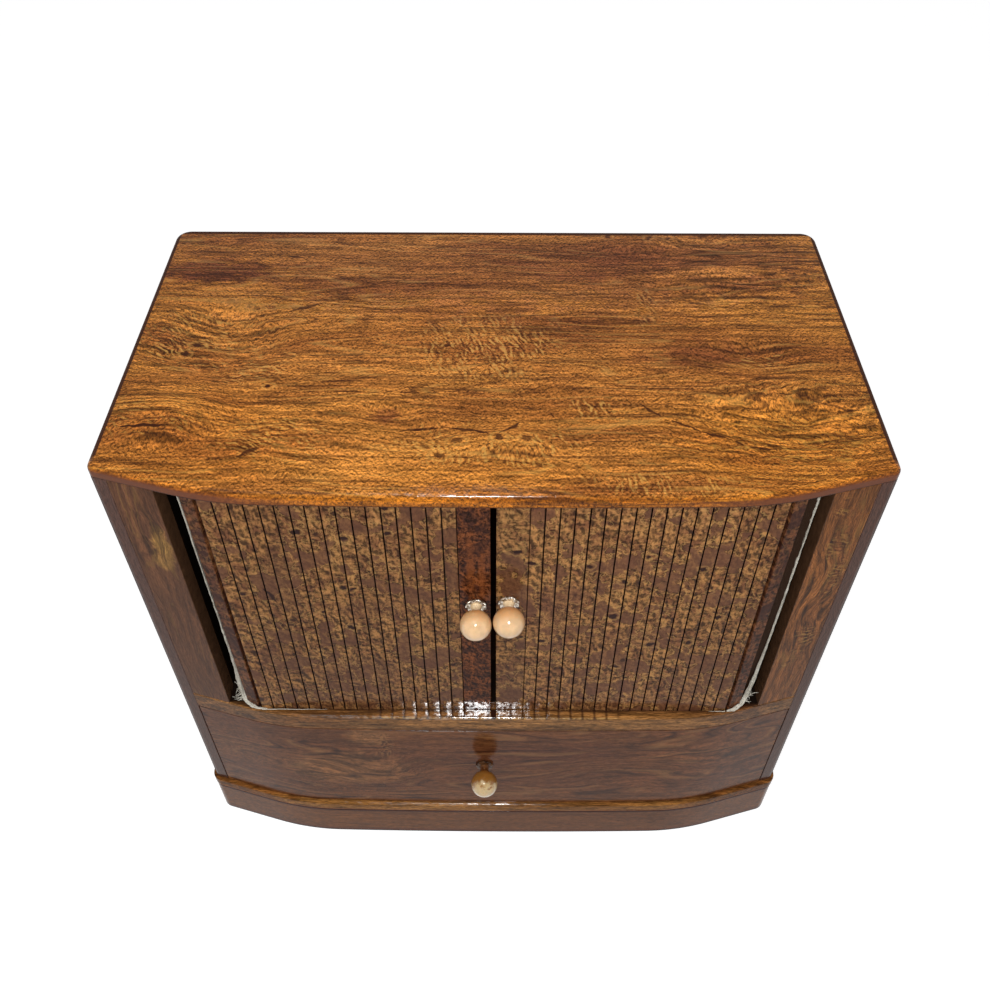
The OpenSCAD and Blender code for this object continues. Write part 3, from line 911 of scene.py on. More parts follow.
@dataclass(frozen=True)
class RailFinish(WoodFinish):
    """The rail's wood, with painted shade along the doors' faces and nearly black painted shade behind them.

    By the middle, a painted highlight runs along the upper arris, with a dark painted reflection of each gap
    of the slats, and of the gap between the doors, on it.
    """

    face_y: float = -10.0
    pitch: float = 0.0056
    first_gap: float = 0.0137
    door_gap: float = 0.0011
    # Colour of the painted highlight along the upper arris.
    arris: Colour = (0.6, 0.36, 0.13)
    # Colour of the painted shade behind the doors.
    pocket: Colour = (0.012, 0.007, 0.005)

    def wood(self, n: Nodes, effects: Effects) -> Look:
        """The bare wood.

        Args:
            n: The material's tree.
            effects: The shared groups.

        Returns:
            The colour, and the height of the grain.
        """
        colour, height = super().wood(n, effects)
        across, back, up = n.split(n.coords())
        start = (CORNER_Y + self.face_y) * MM
        upper = n.band(up, 0.1176, 0.11795)
        inwards = n.band(back, start - 0.003, start + 0.0005, 0.0, 0.75)
        behind = n.band(back, start + 0.0022, start + 0.0045)
        # Painted shade along the doors' faces on the ledge, and nearly black painted shade behind them.
        colour = n.mix(n.times(upper, inwards), colour, self.line)
        colour = n.mix(n.times(upper, behind), colour, self.pocket)
        aside = n.math("ABSOLUTE", across)
        slats = n.math("DIVIDE", n.math("SUBTRACT", aside, self.first_gap), self.pitch)
        steps = n.math("FRACT", n.math("ADD", slats, 0.5))
        fore = n.band(back, start - 0.0005, start + 0.0005, 1.0, 0.0)
        near = n.times(n.band(aside, 0.05, 0.066, 1.0, 0.0), n.band(up, 0.1168, 0.1174), fore)
        chips = n.band(n.noise(n.coords(), 420.0, 2.0, 0.6), 0.35, 0.6)
        # Painted highlight along the upper arris, broken up by noise.
        painted_arris_highlight = n.times(n.line(up, 0.1175, 0.0005), near, chips, 0.8)
        colour = n.mix(painted_arris_highlight, colour, self.arris)
        # Painted reflections of the dark gaps between the slats and between the doors, along the arris.
        middle = n.band(aside, self.door_gap, self.door_gap + 0.0003, 1.0, 0.0)
        painted_gap_reflections = n.math("MAXIMUM", n.times(n.line(steps, 0.5, 0.2), 0.75), middle)
        return n.mix(n.times(painted_gap_reflections, near), colour, self.line), height


@dataclass(frozen=True)
class BurrFinish(WoodFinish):
    """A burr veneer, cut into slats after it was laid, with painted shade on the slats' flanks."""

    dark: Colour = (0.05, 0.018, 0.016)
    # Colour of the painted shade on the slats' flanks.
    gap: Colour = (0.006, 0.003, 0.002)
    scale: float = 1.0
    calm: float = 0.75

    def wood(self, n: Nodes, effects: Effects) -> Look:
        """The bare veneer.

        Args:
            n: The material's tree.
            effects: The shared groups.

        Returns:
            The colour, and the height of the grain.
        """
        rag = n.noise(n.coords(), 330.0, 2.0, 0.6)
        burr = n.group(effects.burr, {"Vector": n.coords(shift=self.shift), "Scale": self.scale}).outputs
        colour = n.mix(burr["Gold"], self.deep, self.pale)
        colour = n.light(colour, burr["Fleck"], 0.66)
        colour = n.mix(n.times(burr["Crest"], 0.5), colour, self.shine)
        colour = n.mix(self.marks(n, effects, self.lights, rag), colour, self.shine)
        colour = n.mix(n.times(burr["Curl"], 0.55), colour, self.line)
        stains = self.marks(n, effects, self.stains, rag)
        stained = n.math("MAXIMUM", n.times(burr["Island"], self.calm), stains)
        colour = n.mix(stained, colour, self.dark)
        colour = n.mix(n.times(burr["Outline"], 0.5), colour, self.shine)
        colour = n.mix(n.times(burr["Edge"], 0.5), colour, self.line)
        colour = n.mix(n.times(burr["Pip"], 0.85), colour, self.line)
        colour = self.figured(n, effects, colour, rag)
        own = n.add("Attribute", attribute_name="slat_tone").outputs["Fac"]
        colour = n.shade(colour, n.band(own, 0.0, 1.0, 0.86, 1.12))
        # Painted shade: the slats' flanks, between the slats, are turned nearly black.
        groove = n.add("Attribute", attribute_name="groove").outputs["Fac"]
        return n.mix(n.band(groove, 0.05, 0.6), colour, self.gap), burr["Fleck"]


def polished(finish: WoodFinish, effects: Effects) -> Material:
    """A polished wood as a material.

    Args:
        finish: The wood and its lacquer.
        effects: The shared groups.

    Returns:
        The material.
    """
    material, n = new_material(finish.name)
    colour, height = finish.wood(n, effects)
    here = n.coords(finish.along)
    wear = n.group(effects.wear, {"Vector": here}).outputs[0]
    # Painted shade: the arrises and creases darken towards the line colour.
    colour = n.mix(n.times(wear, 0.6), colour, finish.line)
    lacquer = finish.lacquer
    skin = n.group(effects.polish, {"Vector": here, "Gloss": lacquer.gloss, "Smudge": lacquer.smudge}).outputs
    rough = n.math("ADD", skin["Roughness"], finish.dull(n), clamp=True)
    wavy = n.math("ADD", skin["Height"], n.times(height, 0.3))
    bump = n.add("Bump", {"Height": wavy, "Distance": lacquer.relief, "Strength": 1.0}).outputs[0]
    body = n.add("BsdfPrincipled", {
        "Base Color": colour,
        "Roughness": rough,
        "IOR": lacquer.ior,
        "Normal": bump,
        "Coat Weight": finish.coat(n, effects),
        "Coat Roughness": 0.12,
        "Coat IOR": 1.9,
    })
    n.finish(body)
    return material


@dataclass(frozen=True)
class PlainFinish:
    """A mottled material of two colours.

    The relief is the height of its mottle in metres, and the mottle's scale says how fine it is.
    """

    name: str
    colour: Colour
    other: Colour
    rough: float
    metal: float = 0.0
    scale: float = 420.0
    relief: float = 0.00003
    shine: float = 0.5

    def material(self) -> Material:
        """The finish as a material.

        Returns:
            The material.
        """
        material, n = new_material(self.name)
        mottle = n.noise(n.coords(), self.scale, 4.0, 0.62)
        tinted = n.mix(n.band(mottle, 0.35, 0.65), self.colour, self.other)
        bump = n.add("Bump", {"Height": mottle, "Distance": self.relief, "Strength": 1.0}).outputs[0]
        body = n.add("BsdfPrincipled", {
            "Base Color": tinted,
            "Roughness": n.band(mottle, 0.3, 0.7, self.rough, 1.35 * self.rough),
            "Metallic": self.metal,
            "Specular IOR Level": self.shine,
            "Normal": bump,
        })
        n.finish(body)
        return material


@dataclass(frozen=True)
class BallFinish:
    """A turned, translucent ball: one colour above and behind, one below and in front, with faint clouds.

    The border between the colours is a slanting plane, moved by the shift from the ball's centre.
    """

    name: str
    above: Colour
    below: Colour
    centre: Point
    shift: float
    spread: float
    rough: float = 0.12
    ragged: float = 0.006

    def material(self) -> Material:
        """The finish as a material.

        Returns:
            The material.
        """
        material, n = new_material(self.name)
        off = n.vector("SUBTRACT", n.coords(), placed(self.centre))
        clouds = n.noise(n.drift(n.coords(), (150.0, 150.0, 150.0), 0.004), 260.0, 4.0, 0.62)
        ragged = n.times(n.math("SUBTRACT", clouds, 0.5), self.ragged)
        height = n.math("ADD", n.dot(off, (0.0, 0.86, 0.51)), ragged)
        share = n.band(height, self.shift - self.spread, self.shift + self.spread)
        colour = n.mix(share, self.below, self.above)
        colour = n.shade(colour, n.band(clouds, 0.3, 0.7, 0.9, 1.08))
        scratch = n.noise(n.stretch(n.coords(), (600.0, 600.0, 3200.0)), 1.0, 2.0, 0.5)
        relief = n.add("Bump", {"Height": scratch, "Distance": 0.000008, "Strength": 1.0}).outputs[0]
        body = n.add("BsdfPrincipled", {
            "Base Color": colour,
            "Roughness": n.band(clouds, 0.3, 0.7, self.rough, 1.6 * self.rough),
            "Normal": relief,
            "Subsurface Weight": 0.25,
            "Subsurface Radius": (1.0, 0.6, 0.35),
            "Subsurface Scale": 0.002,
            "Coat Weight": 1.0,
            "Coat Roughness": 0.05,
            "Coat IOR": 1.25,
        })
        n.finish(body)
        return material


@dataclass(frozen=True)
class CanvasFinish:
    """Unbleached plain-woven canvas, dark brown with old adhesive and painted shade where the piece's glue
    attribute says so.
    """

    name: str
    shade: Colour = (0.62, 0.57, 0.47)
    thread: Colour = (0.84, 0.8, 0.7)
    # Colour of the old adhesive, darkened further as painted shade.
    glue: Colour = (0.035, 0.017, 0.009)
    threads: float = 5200.0

    def material(self) -> Material:
        """The finish as a material.

        Returns:
            The material.
        """
        material, n = new_material(self.name)
        across, back, up = n.split(n.coords())
        plan = n.math("ADD", across, back)
        warp = n.math("SINE", n.times(plan, self.threads))
        weft = n.math("SINE", n.times(up, self.threads))
        weave = n.times(warp, weft)
        slub = n.noise(n.stretch(n.coords(), (120.0, 120.0, 900.0)), 1.0, 3.0, 0.6)
        colour = n.mix(n.band(slub, 0.3, 0.7), self.shade, self.thread)
        colour = n.shade(colour, n.band(weave, -1.0, 1.0, 0.78, 1.05))
        glue = n.add("Attribute", attribute_name="glue").outputs["Fac"]
        blots = n.noise(n.coords(), 420.0, 3.0, 0.6)
        glued_and_shaded = n.band(n.math("ADD", glue, n.times(n.math("SUBTRACT", blots, 0.5), 0.7)), 0.35, 0.6)
        # Painted shade: where the canvas is glued it darkens nearly to black, so the canvas seen beside the
        # tail reads as shadow.
        colour = n.mix(glued_and_shaded, colour, self.glue)
        height = n.math("ADD", weave, n.times(slub, 1.5))
        relief = n.add("Bump", {"Height": height, "Distance": 0.00008, "Strength": 1.0}).outputs[0]
        body = n.add("BsdfPrincipled", {
            "Base Color": colour,
            "Roughness": n.band(glued_and_shaded, 0.0, 1.0, 0.9, 0.55),
            "Normal": relief,
            "Specular IOR Level": 0.05,
        })
        n.finish(body)
        return material


# Mesh tools


def finished_object(name: str, shape: Shape, material: Material, sharp: float = 30.0) -> Piece:
    """Makes an object at the origin from a bmesh and frees the bmesh.

    Args:
        name: The piece's name.
        shape: The shape, in metres of the row frame.
        material: Its finish.
        sharp: Edges that turn by more than this many degrees stay sharp.

    Returns:
        The new object.
    """
    mesh = bpy.data.meshes.new(name)
    shape.to_mesh(mesh)
    shape.free()
    for face in mesh.polygons:
        face.use_smooth = True
    mesh.set_sharp_from_angle(angle=math.radians(sharp))
    mesh.materials.append(material)
    piece = bpy.data.objects.new(name, mesh)
    bpy.context.scene.collection.objects.link(piece)
    return piece


def placed_piece(piece: Piece, body: str, slot: str, *nodes: str) -> Piece:
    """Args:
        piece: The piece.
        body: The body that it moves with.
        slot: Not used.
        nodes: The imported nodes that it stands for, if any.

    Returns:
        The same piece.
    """
    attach(piece, body)
    if nodes:
        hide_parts(*nodes)
    LOG.info("%s: %d faces, on %s", piece.name, len(piece.data.polygons), body)
    return piece


def soften(piece: Piece, width: float, segments: int = 3) -> None:
    """Breaks a piece's sharp edges and evens its normals.

    Args:
        piece: The object.
        width: Width of each broken edge, in metres.
        segments: Steps across it.
    """
    bevel = piece.modifiers.new("broken_edges", "BEVEL")
    bevel.width = width
    bevel.segments = segments
    bevel.limit_method = "ANGLE"
    bevel.angle_limit = math.radians(30.0)
    bevel.use_clamp_overlap = True
    even = piece.modifiers.new("even_normals", "WEIGHTED_NORMAL")
    even.mode = "FACE_AREA"
    even.weight = 100
    even.keep_sharp = True


def dressed(node: str, body: str, slot: str, material: Material, edge: float = 0.3) -> Piece:
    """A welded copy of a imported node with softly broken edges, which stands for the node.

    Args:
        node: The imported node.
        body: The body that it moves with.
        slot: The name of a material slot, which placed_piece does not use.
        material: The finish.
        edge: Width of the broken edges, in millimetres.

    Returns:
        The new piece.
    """
    shape = bmesh.new()
    shape.from_mesh(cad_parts[node].data)
    bmesh.ops.remove_doubles(shape, verts=shape.verts, dist=1e-6)
    bmesh.ops.dissolve_limit(shape, angle_limit=math.radians(0.05), verts=shape.verts, edges=shape.edges)
    piece = finished_object(node + ".dressed", shape, material)
    soften(piece, edge * MM)
    return placed_piece(piece, body, slot, node)


def turned(profile: Sequence[Plan], steps: int = 48) -> Shape:
    """A shape turned round the Y axis.

    Args:
        profile: Distances along -Y and radii in metres, from the back to the front. A radius of zero closes
            an end.
        steps: Faces round the shape.

    Returns:
        The closed shape, with its back at Y = 0.
    """
    shape = bmesh.new()
    verts = [shape.verts.new((radius, -reach, 0.0)) for reach, radius in profile]
    for pair in zip(verts, verts[1:]):
        shape.edges.new(pair)
    bmesh.ops.spin(shape, geom=shape.verts[:] + shape.edges[:], cent=(0.0, 0.0, 0.0), axis=(0.0, 1.0, 0.0),
                   angle=math.tau, steps=steps, use_merge=True, use_duplicate=False)
    bmesh.ops.remove_doubles(shape, verts=shape.verts, dist=1e-7)
    bmesh.ops.holes_fill(shape, edges=[e for e in shape.edges if e.is_boundary], sides=0)
    bmesh.ops.recalc_face_normals(shape, faces=shape.faces)
    return shape


def arc_profile(centre: Plan, radius: float, start: float, end: float, steps: int) -> list[Plan]:
    """Points of an arc in a turning profile, from one angle in degrees to another."""
    angles = [math.radians(start + (end - start) * i / steps) for i in range(steps + 1)]
    return [(centre[0] + radius * math.cos(a), max(centre[1] + radius * math.sin(a), 0.0)) for a in angles]


def strand(shape: Shape, path: Sequence[Point], radii: Sequence[float], steps: int = 5) -> None:
    """Adds a smooth round strand to a shape.

    Args:
        shape: The shape that receives it.
        path: Points in millimetres from the front corners.
        radii: The strand's radius at each point, in millimetres.
        steps: Steps between two points.
    """
    data = bpy.data.curves.new("strand", "CURVE")
    data.dimensions = "3D"
    data.bevel_depth = MM
    data.bevel_resolution = 2
    data.resolution_u = steps
    data.use_fill_caps = True
    spline = data.splines.new("NURBS")
    spline.points.add(len(path) - 1)
    spline.use_endpoint_u = True
    spline.order_u = min(4, len(path))
    for point, place, radius in zip(spline.points, path, radii):
        point.co = (*placed(place), 1.0)
        point.radius = radius
    holder = bpy.data.objects.new("strand", data)
    mesh = bpy.data.meshes.new_from_object(holder)
    shape.from_mesh(mesh)
    bpy.data.objects.remove(holder)
    bpy.data.curves.remove(data)
    bpy.data.meshes.remove(mesh)


def slotted(shape: Shape, radius: float, width: float, depth: float) -> None:
    """Cuts a driver's slot into the head of a shape turned round the Y axis, whose back is at Y = 0.

    Args:
        shape: The turned shape.
        radius: Radius of the head.
        width: Width of the slot.
        depth: Depth of the slot.
    """
    length = 0.8 * radius
    for place, normal in (((0, 0, width / 2), (0, 0, 1)), ((0, 0, -width / 2), (0, 0, 1)),
                          ((length, 0, 0), (1, 0, 0)), ((-length, 0, 0), (1, 0, 0))):
        geom = shape.verts[:] + shape.edges[:] + shape.faces[:]
        bmesh.ops.bisect_plane(shape, geom=geom, dist=1e-7, plane_co=place, plane_no=normal)
    floor = []
    for face in shape.faces:
        middle = face.calc_center_median()
        if face.normal.y > 0.3 and abs(middle.z) < width / 2 and abs(middle.x) < length:
            floor.append(face)
    sunk = bmesh.ops.extrude_face_region(shape, geom=floor)["geom"]
    bmesh.ops.delete(shape, geom=floor, context="FACES_ONLY")
    verts = [v for v in sunk if isinstance(v, bmesh.types.BMVert)]
    bmesh.ops.translate(shape, verts=verts, vec=(0.0, -depth, 0.0))
    bmesh.ops.recalc_face_normals(shape, faces=shape.faces)


# The studio


@dataclass
class Studio:
    """Camera, lamps, world and floor."""

    camera_at: Point = (1.63, -256.81, 530.07)
    camera_turn: Point = (42.743, -0.053, 0.297)
    focal_pixels: float = 999.66
    photo_height: float = 1000.0
    sensor: float = 36.0
    floor_reach: float = 6.0
    floor_tone: float = 0.5
    floor_glow: float = 0.77
    room_light: float = 0.42

    def build(self) -> None:
        """Makes everything that isn't the object."""
        self.camera()
        self.lamp("camera_side_lamp", (-0.006, -0.336, 0.545), (0.0, -0.03, 0.2), 0.07, 1.25)
        self.lamp("overhead_panel", (-0.4, -0.5, 1.5), (0.0, 0.0, 0.1), 0.9, 2.2)
        self.world()
        self.floor()

    def camera(self) -> None:
        """The photograph's view."""
        data = bpy.data.cameras.new("photo_camera")
        data.sensor_fit = "AUTO"
        data.sensor_width = self.sensor
        data.lens = self.focal_pixels * self.sensor / self.photo_height
        data.clip_start = 0.01
        camera = bpy.data.objects.new("photo_camera", data)
        camera.location = placed(self.camera_at)
        camera.rotation_euler = tuple(math.radians(a) for a in self.camera_turn)
        bpy.context.scene.collection.objects.link(camera)
        bpy.context.scene.camera = camera

    def lamp(self, name: str, at: Point, target: Point, width: float, watts: float) -> None:
        """A round soft lamp aimed at a point.

        Args:
            name: The lamp's name.
            at: Its place.
            target: The point that it faces.
            width: Its diameter.
            watts: Its power.
        """
        data = bpy.data.lights.new(name, "AREA")
        data.shape = "DISK"
        data.size = width
        data.energy = watts
        lamp = bpy.data.objects.new(name, data)
        lamp.location = at
        lamp.rotation_euler = (Vector(target) - Vector(at)).to_track_quat("-Z", "Y").to_euler()
        bpy.context.scene.collection.objects.link(lamp)

    def seen(self, n: Nodes) -> Socket:
        """One for camera, glossy and transmission rays.

        Args:
            n: The tree of the world or the floor.

        Returns:
            The mask.
        """
        path = n.add("LightPath").outputs
        through = n.math("MAXIMUM", path["Is Glossy Ray"], path["Is Transmission Ray"])
        return n.math("MAXIMUM", path["Is Camera Ray"], through)

    def world(self) -> None:
        """A pale room: white towards the horizon and dimmer overhead."""
        world = bpy.data.worlds.new("pale_room")
        bpy.context.scene.world = world
        world.use_nodes = True
        n = Nodes(world.node_tree)
        n.tree.nodes.clear()
        up = n.split(n.add("TexCoord").outputs["Generated"])[2]
        room = n.band(up, 0.3, 0.62, 1.0, 0.3)
        strength = n.add("Mix", {0: self.seen(n), 2: self.room_light, 3: room}, data_type="FLOAT")
        n.finish(n.add("Background", {"Color": EVEN, "Strength": strength.outputs[0]}))

    def floor(self) -> None:
        """A plain pale floor that keeps the object's shadow."""
        shape = bmesh.new()
        bmesh.ops.create_grid(shape, x_segments=2, y_segments=2, size=self.floor_reach)
        material, n = new_material("pale_floor")
        tones = (self.floor_tone, self.floor_tone + 0.02)
        pale = n.mix(n.noise(n.coords(), 900.0, 2.0, 0.5), (tones[0],) * 3, (tones[1],) * 3)
        matt = n.add("BsdfDiffuse", {"Color": pale})
        glow = n.add("Emission", {"Color": EVEN, "Strength": self.floor_glow})
        both = n.add("AddShader", {0: matt.outputs[0], 1: glow.outputs[0]})
        n.finish(n.add("MixShader", {0: self.seen(n), 1: matt.outputs[0], 2: both.outputs[0]}))
        finished_object("pale_floor", shape, material)


# The case


FOOT_GLARE = (Mark((-15.0, -9.5, 120.5), (44.0, 6.0, 6.0)),)
TOP = 270.0
TOP_REACH = 20.0


def on_top(x: float, y: float) -> Point:
    """A point of the top face."""
    return x, y, TOP


def top_mark(x: float, y: float, wide: float, deep: float, share: float = 1.0, push: float = 0.0) -> Mark:
    """A mark of the top face, which pushes the grain along Y if it is a bulge."""
    return Mark(on_top(x, y), (wide, deep, TOP_REACH), share, (0.0, push, 0.0))


def top_marks(*rows: tuple[float, ...]) -> Marks:
    """Marks of the top face from rows of the values that top_mark takes."""
    return tuple(top_mark(*row) for row in rows)


def top_strokes(*rows: tuple[float, ...]) -> tuple[Stroke, ...]:
    """Strokes of the top face from rows of start X and Y, end X and Y, width and share."""
    return tuple(Stroke(on_top(a, b), on_top(c, d), width, share) for a, b, c, d, width, share in rows)


def front_marks(face_y: float, reach: float, *rows: tuple[float, ...]) -> Marks:
    """Marks of a front face.

    Args:
        face_y: Where the face is along Y.
        reach: How far each mark goes to both sides of it.
        rows: Each mark's X and Z, half its width and height, and its share.

    Returns:
        The marks.
    """
    return tuple(Mark((x, face_y, z), (wide, reach, high), share) for x, z, wide, high, share in rows)


@dataclass
class Case:
    """The boards that stand still."""

    effects: Effects

    def top(self) -> TopFinish:
        """The top's veneer with its own figure.

        Returns:
            The finish.
        """
        return TopFinish(
            "top_veneer", (0.52, 0.2, 0.036), (0.3, 0.1, 0.02),
            line=(0.05, 0.014, 0.006),
            shine=(0.72, 0.38, 0.09),
            waver=0.008,
            line_scale=165.0,
            line_share=0.6,
            pore_share=0.12,
            fibre=0.72,
            fibre_scale=(950.0, 800.0, 800.0),
            ridge=0.34,
            ripple=0.55,
            ripple_scale=(8.0, 62.0, 62.0),
            streak_scale=(11.0, 48.0, 48.0),
            lacquer=Lacquer(ior=1.22),
            glare=(Mark((-11.0, -14.0, 269.8), (46.0, 6.0, 0.8)),),
            tints=(
                (top_mark(0.0, 140.0, 190.0, 62.0), (0.9, 0.9, 1.25)),
                (top_mark(0.0, 72.0, 190.0, 46.0), (1.02, 1.0, 1.1)),
                (top_mark(-112.0, 12.0, 50.0, 36.0), (1.04, 1.0, 0.88)),
                (top_mark(112.0, 10.0, 60.0, 36.0), (1.05, 1.0, 0.8)),
                (top_mark(0.0, -8.0, 60.0, 14.0), (1.1, 1.1, 1.0)),
            ),
            flames=top_marks(
                (117.7, 23.8, 46, 36), (109.2, 126.5, 50, 34, 0.9),
                (-121.6, 69.4, 36, 34, 0.9), (-127.7, 29.7, 32, 26, 0.8),
                (-79.8, 11.9, 34, 20, 0.7),
            ),
            curls=top_marks(
                (-125.5, 73.3, 30, 24, 0.9), (-97.7, 57.5, 24, 16, 0.8),
                (-131.7, 27.8, 26, 16, 0.6), (-83.8, 13.8, 28, 16, 0.8),
                (107.5, 61.4, 12, 9, 0.7), (117.8, 13.9, 40, 22, 0.45),
                (-79.7, 99, 24, 12, 0.4),
            ),
            ticks=top_marks(
                (-4, 67.4, 40, 28, 0.95), (-3.9, 11.9, 52, 15, 0.75),
                (40.9, 31.7, 16, 7, 0.9), (64.6, 97, 7, 20, 0.7), (64, -8, 40, 8, 0.7),
            ),
            stains=top_marks(
                (-125.4, 122.7, 34, 11, 0.85), (27.7, 134.5, 70, 22, 0.6),
                (71.7, 65.4, 46, 13, 0.7), (-59.7, 122.7, 50, 24, 0.35),
                (19.9, 75.3, 46, 26, 0.35), (-41.8, 27.8, 7, 6, 0.8),
                (107.2, 126.5, 46, 26, 0.4), (60, -8, 36, 7, 0.4),
            ),
            strokes=self.top_lines(),
            eyes=top_marks(
                (52.5, 152.2, 2.6, 2, 0.8), (71.4, 151.2, 2.6, 2, 0.8), (80.3, 151.2, 2.2, 1.6, 0.8),
                (-19.9, 5.9, 4.2, 2.2, 0.85), (-89.7, 44.6, 2.4, 1.8), (2.1, 15.8, 3, 2.2, 0.85),
                (-13.9, 13.9, 3, 2.2, 0.7), (12.1, 14.9, 3.4, 2.4, 0.7), (-122.6, 70.4, 3, 2, 0.9),
                (-126.6, 64.4, 3, 2, 0.9),
            ),
            bulges=top_marks(
                (-131.7, 31.7, 38, 26, 1, -9), (103.6, 61.4, 26, 16, 1, 5),
                (6.1, 13.9, 26, 12, 1, -5), (-29.9, 15.8, 22, 12, 1, 4),
                (65.4, 148.2, 30, 14, 1, -5), (-41.8, 27.8, 16, 9, 1, 3),
                (111.8, 17.8, 50, 34, 1, 11), (-115.6, 71.3, 40, 30, 1, 8),
            ),
        )

    def top_lines(self) -> tuple[Stroke, ...]:
        """The dark lines of the top: a crack, single lines and a row of short ones.

        Returns:
            The strokes.
        """
        crack = ((56.9, 33.7), (66.9, 25.8), (77.9, 19.8), (89.9, 14.9), (93.9, 10.9), (110.8, 8.9))
        cracked = tuple(Stroke(on_top(*a), on_top(*b), 0.9, 0.9) for a, b in zip(crack, crack[1:]))
        single = top_strokes(
            (-149.3, 119.3, -101.5, 121.2, 1.1, 0.7), (-135.4, 116.8, -119.5, 114.8, 1, 0.6),
            (-89.6, 92.6, -74.7, 98.5, 1.3, 0.8), (-96.5, 134.5, -87.6, 133.5, 1.4, 0.7),
            (-110.5, 130.6, -100.5, 125.7, 1.2, 0.6), (-144.7, 20.8, -120.7, 21.8, 1, 1),
            (-35.9, 18.3, -19.9, 21.3, 0.8, 1), (-19.9, 21.3, 2.1, 17.8, 0.7, 0.9),
            (2.1, 17.8, 11, 24.3, 0.8, 0.9), (-94.8, 4.9, -84.8, 10.4, 1.3, 0.9),
            (9, 32.7, 19, 30.7, 0.7, 0.7), (18, 31.2, 23, 26.8, 1, 0.9),
            (-95.7, 40.6, 4, 41.6, 0.5, 0.75), (-81.8, 22.8, -33.9, 22.8, 0.4, 0.6),
            (-114.7, 18.8, -77.8, 18.8, 0.5, 0.5), (12, 19.8, 59.9, 19.8, 0.5, 0.7),
            (12.1, 13.9, 87.9, 13.9, 0.5, 0.75), (72.5, 103.9, 99.4, 97, 0.9, 0.7),
            (119.6, 38.7, 145.6, 28.8, 0.8, 0.7), (25.9, 43.6, 94.7, 43.6, 0.6, 0.6),
        )
        levels = (63.4, 60.0, 56.5, 52.5, 47.6)
        rows = [(-92.0 + 3.0 * i, y, -34.0 - 4.0 * i, y + 0.5, 0.5, 0.7) for i, y in enumerate(levels)]
        return cracked + single + top_strokes(*rows)

    def build(self) -> None:
        """Dresses every board."""
        dressed("top_board", "case", "top_wood", polished(self.top(), self.effects), 0.2)
        side = polished(self.side_veneer(), self.effects)
        foot = polished(self.plinth_wood(), self.effects)
        bare = polished(self.bare_wood(), self.effects)
        # Painted shade: the liners and shelf inside the compartment get a nearly black finish.
        dark = polished(self.pocket_stain(), self.effects)
        for s in Side:
            dressed(s.word + "_side", "case", "side_wood", side)
            dressed(s.word + "_stile", "case", "stile_wood", polished(self.stile(s), self.effects))
            dressed(s.word + "_liner", "case", "inside_wood", dark)
            dressed("plinth_" + s.word, "case", "plinth_wood", foot)
        dressed("front_rail", "case", "rail_wood", polished(self.rail_wood(), self.effects), 0.2)
        dressed("base_board", "case", "bead_wood", polished(self.bead_wood(), self.effects), 0.2)
        dressed("plinth_front", "case", "plinth_wood", foot)
        dressed("plinth_back", "case", "plinth_wood", foot)
        dressed("shelf_board", "case", "inside_wood", dark)
        dressed("back_panel", "case", "inside_wood", polished(self.back_stain(), self.effects))
        for node in ("plinth_blocks", "drawer_stops"):
            dressed(node, "case", "inside_wood", bare)
        self.back_screws()

    def side_veneer(self) -> FrontEdgeFinish:
        """The veneer of both sides."""
        return FrontEdgeFinish("side_veneer", (0.34, 0.13, 0.032), (0.19, 0.065, 0.02), along=Along.Z,
                               waver=0.02, ripple=0.4)

    def rail_wood(self) -> RailFinish:
        """The wood of the rail below the doors.

        Returns:
            The finish.
        """
        return RailFinish(
            "rail_wood", (0.31, 0.14, 0.04), (0.155, 0.06, 0.018),
            line_scale=300.0,
            line_share=0.5,
            fibre=0.5,
            ridge=0.4,
            ripple=0.4,
            ripple_scale=(8.0, 160.0, 160.0),
            lacquer=Lacquer(ior=1.16),
            glare=FOOT_GLARE + (Mark((-30.0, -14.5, 117.6), (80.0, 5.0, 1.1)),),
        )

    def bead_wood(self) -> WoodFinish:
        """The wood of the rounded edge below the drawer, darker towards both ends.

        Returns:
            The finish.
        """
        ends = tuple((Mark((x, 0.0, 29.0), (56.0, 20.0, 20.0)), (0.52, 0.42, 0.38)) for x in (-120.0, 120.0))
        return WoodFinish(
            "bead_wood", (0.4, 0.18, 0.045), (0.22, 0.088, 0.022),
            line_scale=260.0,
            line_share=0.4,
            fibre=0.5,
            ridge=0.35,
            ripple=0.25,
            ripple_scale=(8.0, 160.0, 160.0),
            lacquer=Lacquer(ior=1.11),
            tints=ends,
            bands=(Band(27.2, 26.2, (0.4, 0.11, 0.025), 0.6),),
            glare=(Mark((-20.0, -16.0, 32.4), (66.0, 5.0, 1.1)),),
        )

    def plinth_wood(self) -> WoodFinish:
        """The plinth's wood, with a painted shadow under the bead and a painted contact shadow along the
        foot, with a reddish band just above it.

        Returns:
            The finish.
        """
        return WoodFinish(
            "plinth_wood", (0.215, 0.076, 0.02), (0.155, 0.054, 0.017),
            line_share=0.15,
            fibre=0.3,
            ridge=0.15,
            lacquer=Lacquer(ior=1.16),
            # Painted shadow under the bead, a reddish band, and a painted contact shadow at the foot.
            bands=(
                Band(23.2, 24.0, (0.05, 0.012, 0.006)),
                Band(5.0, 2.4, (0.13, 0.03, 0.012), 0.55),
                Band(1.8, 0.9, (0.02, 0.006, 0.004)),
            ),
        )

    def bare_wood(self) -> WoodFinish:
        """The unpolished wood of the hidden blocks."""
        return WoodFinish("inside_wood", (0.52, 0.34, 0.19), (0.42, 0.26, 0.13), (0.2, 0.1, 0.05),
                          line_share=0.4, lacquer=Lacquer(0.45, 0.2, 1.35))

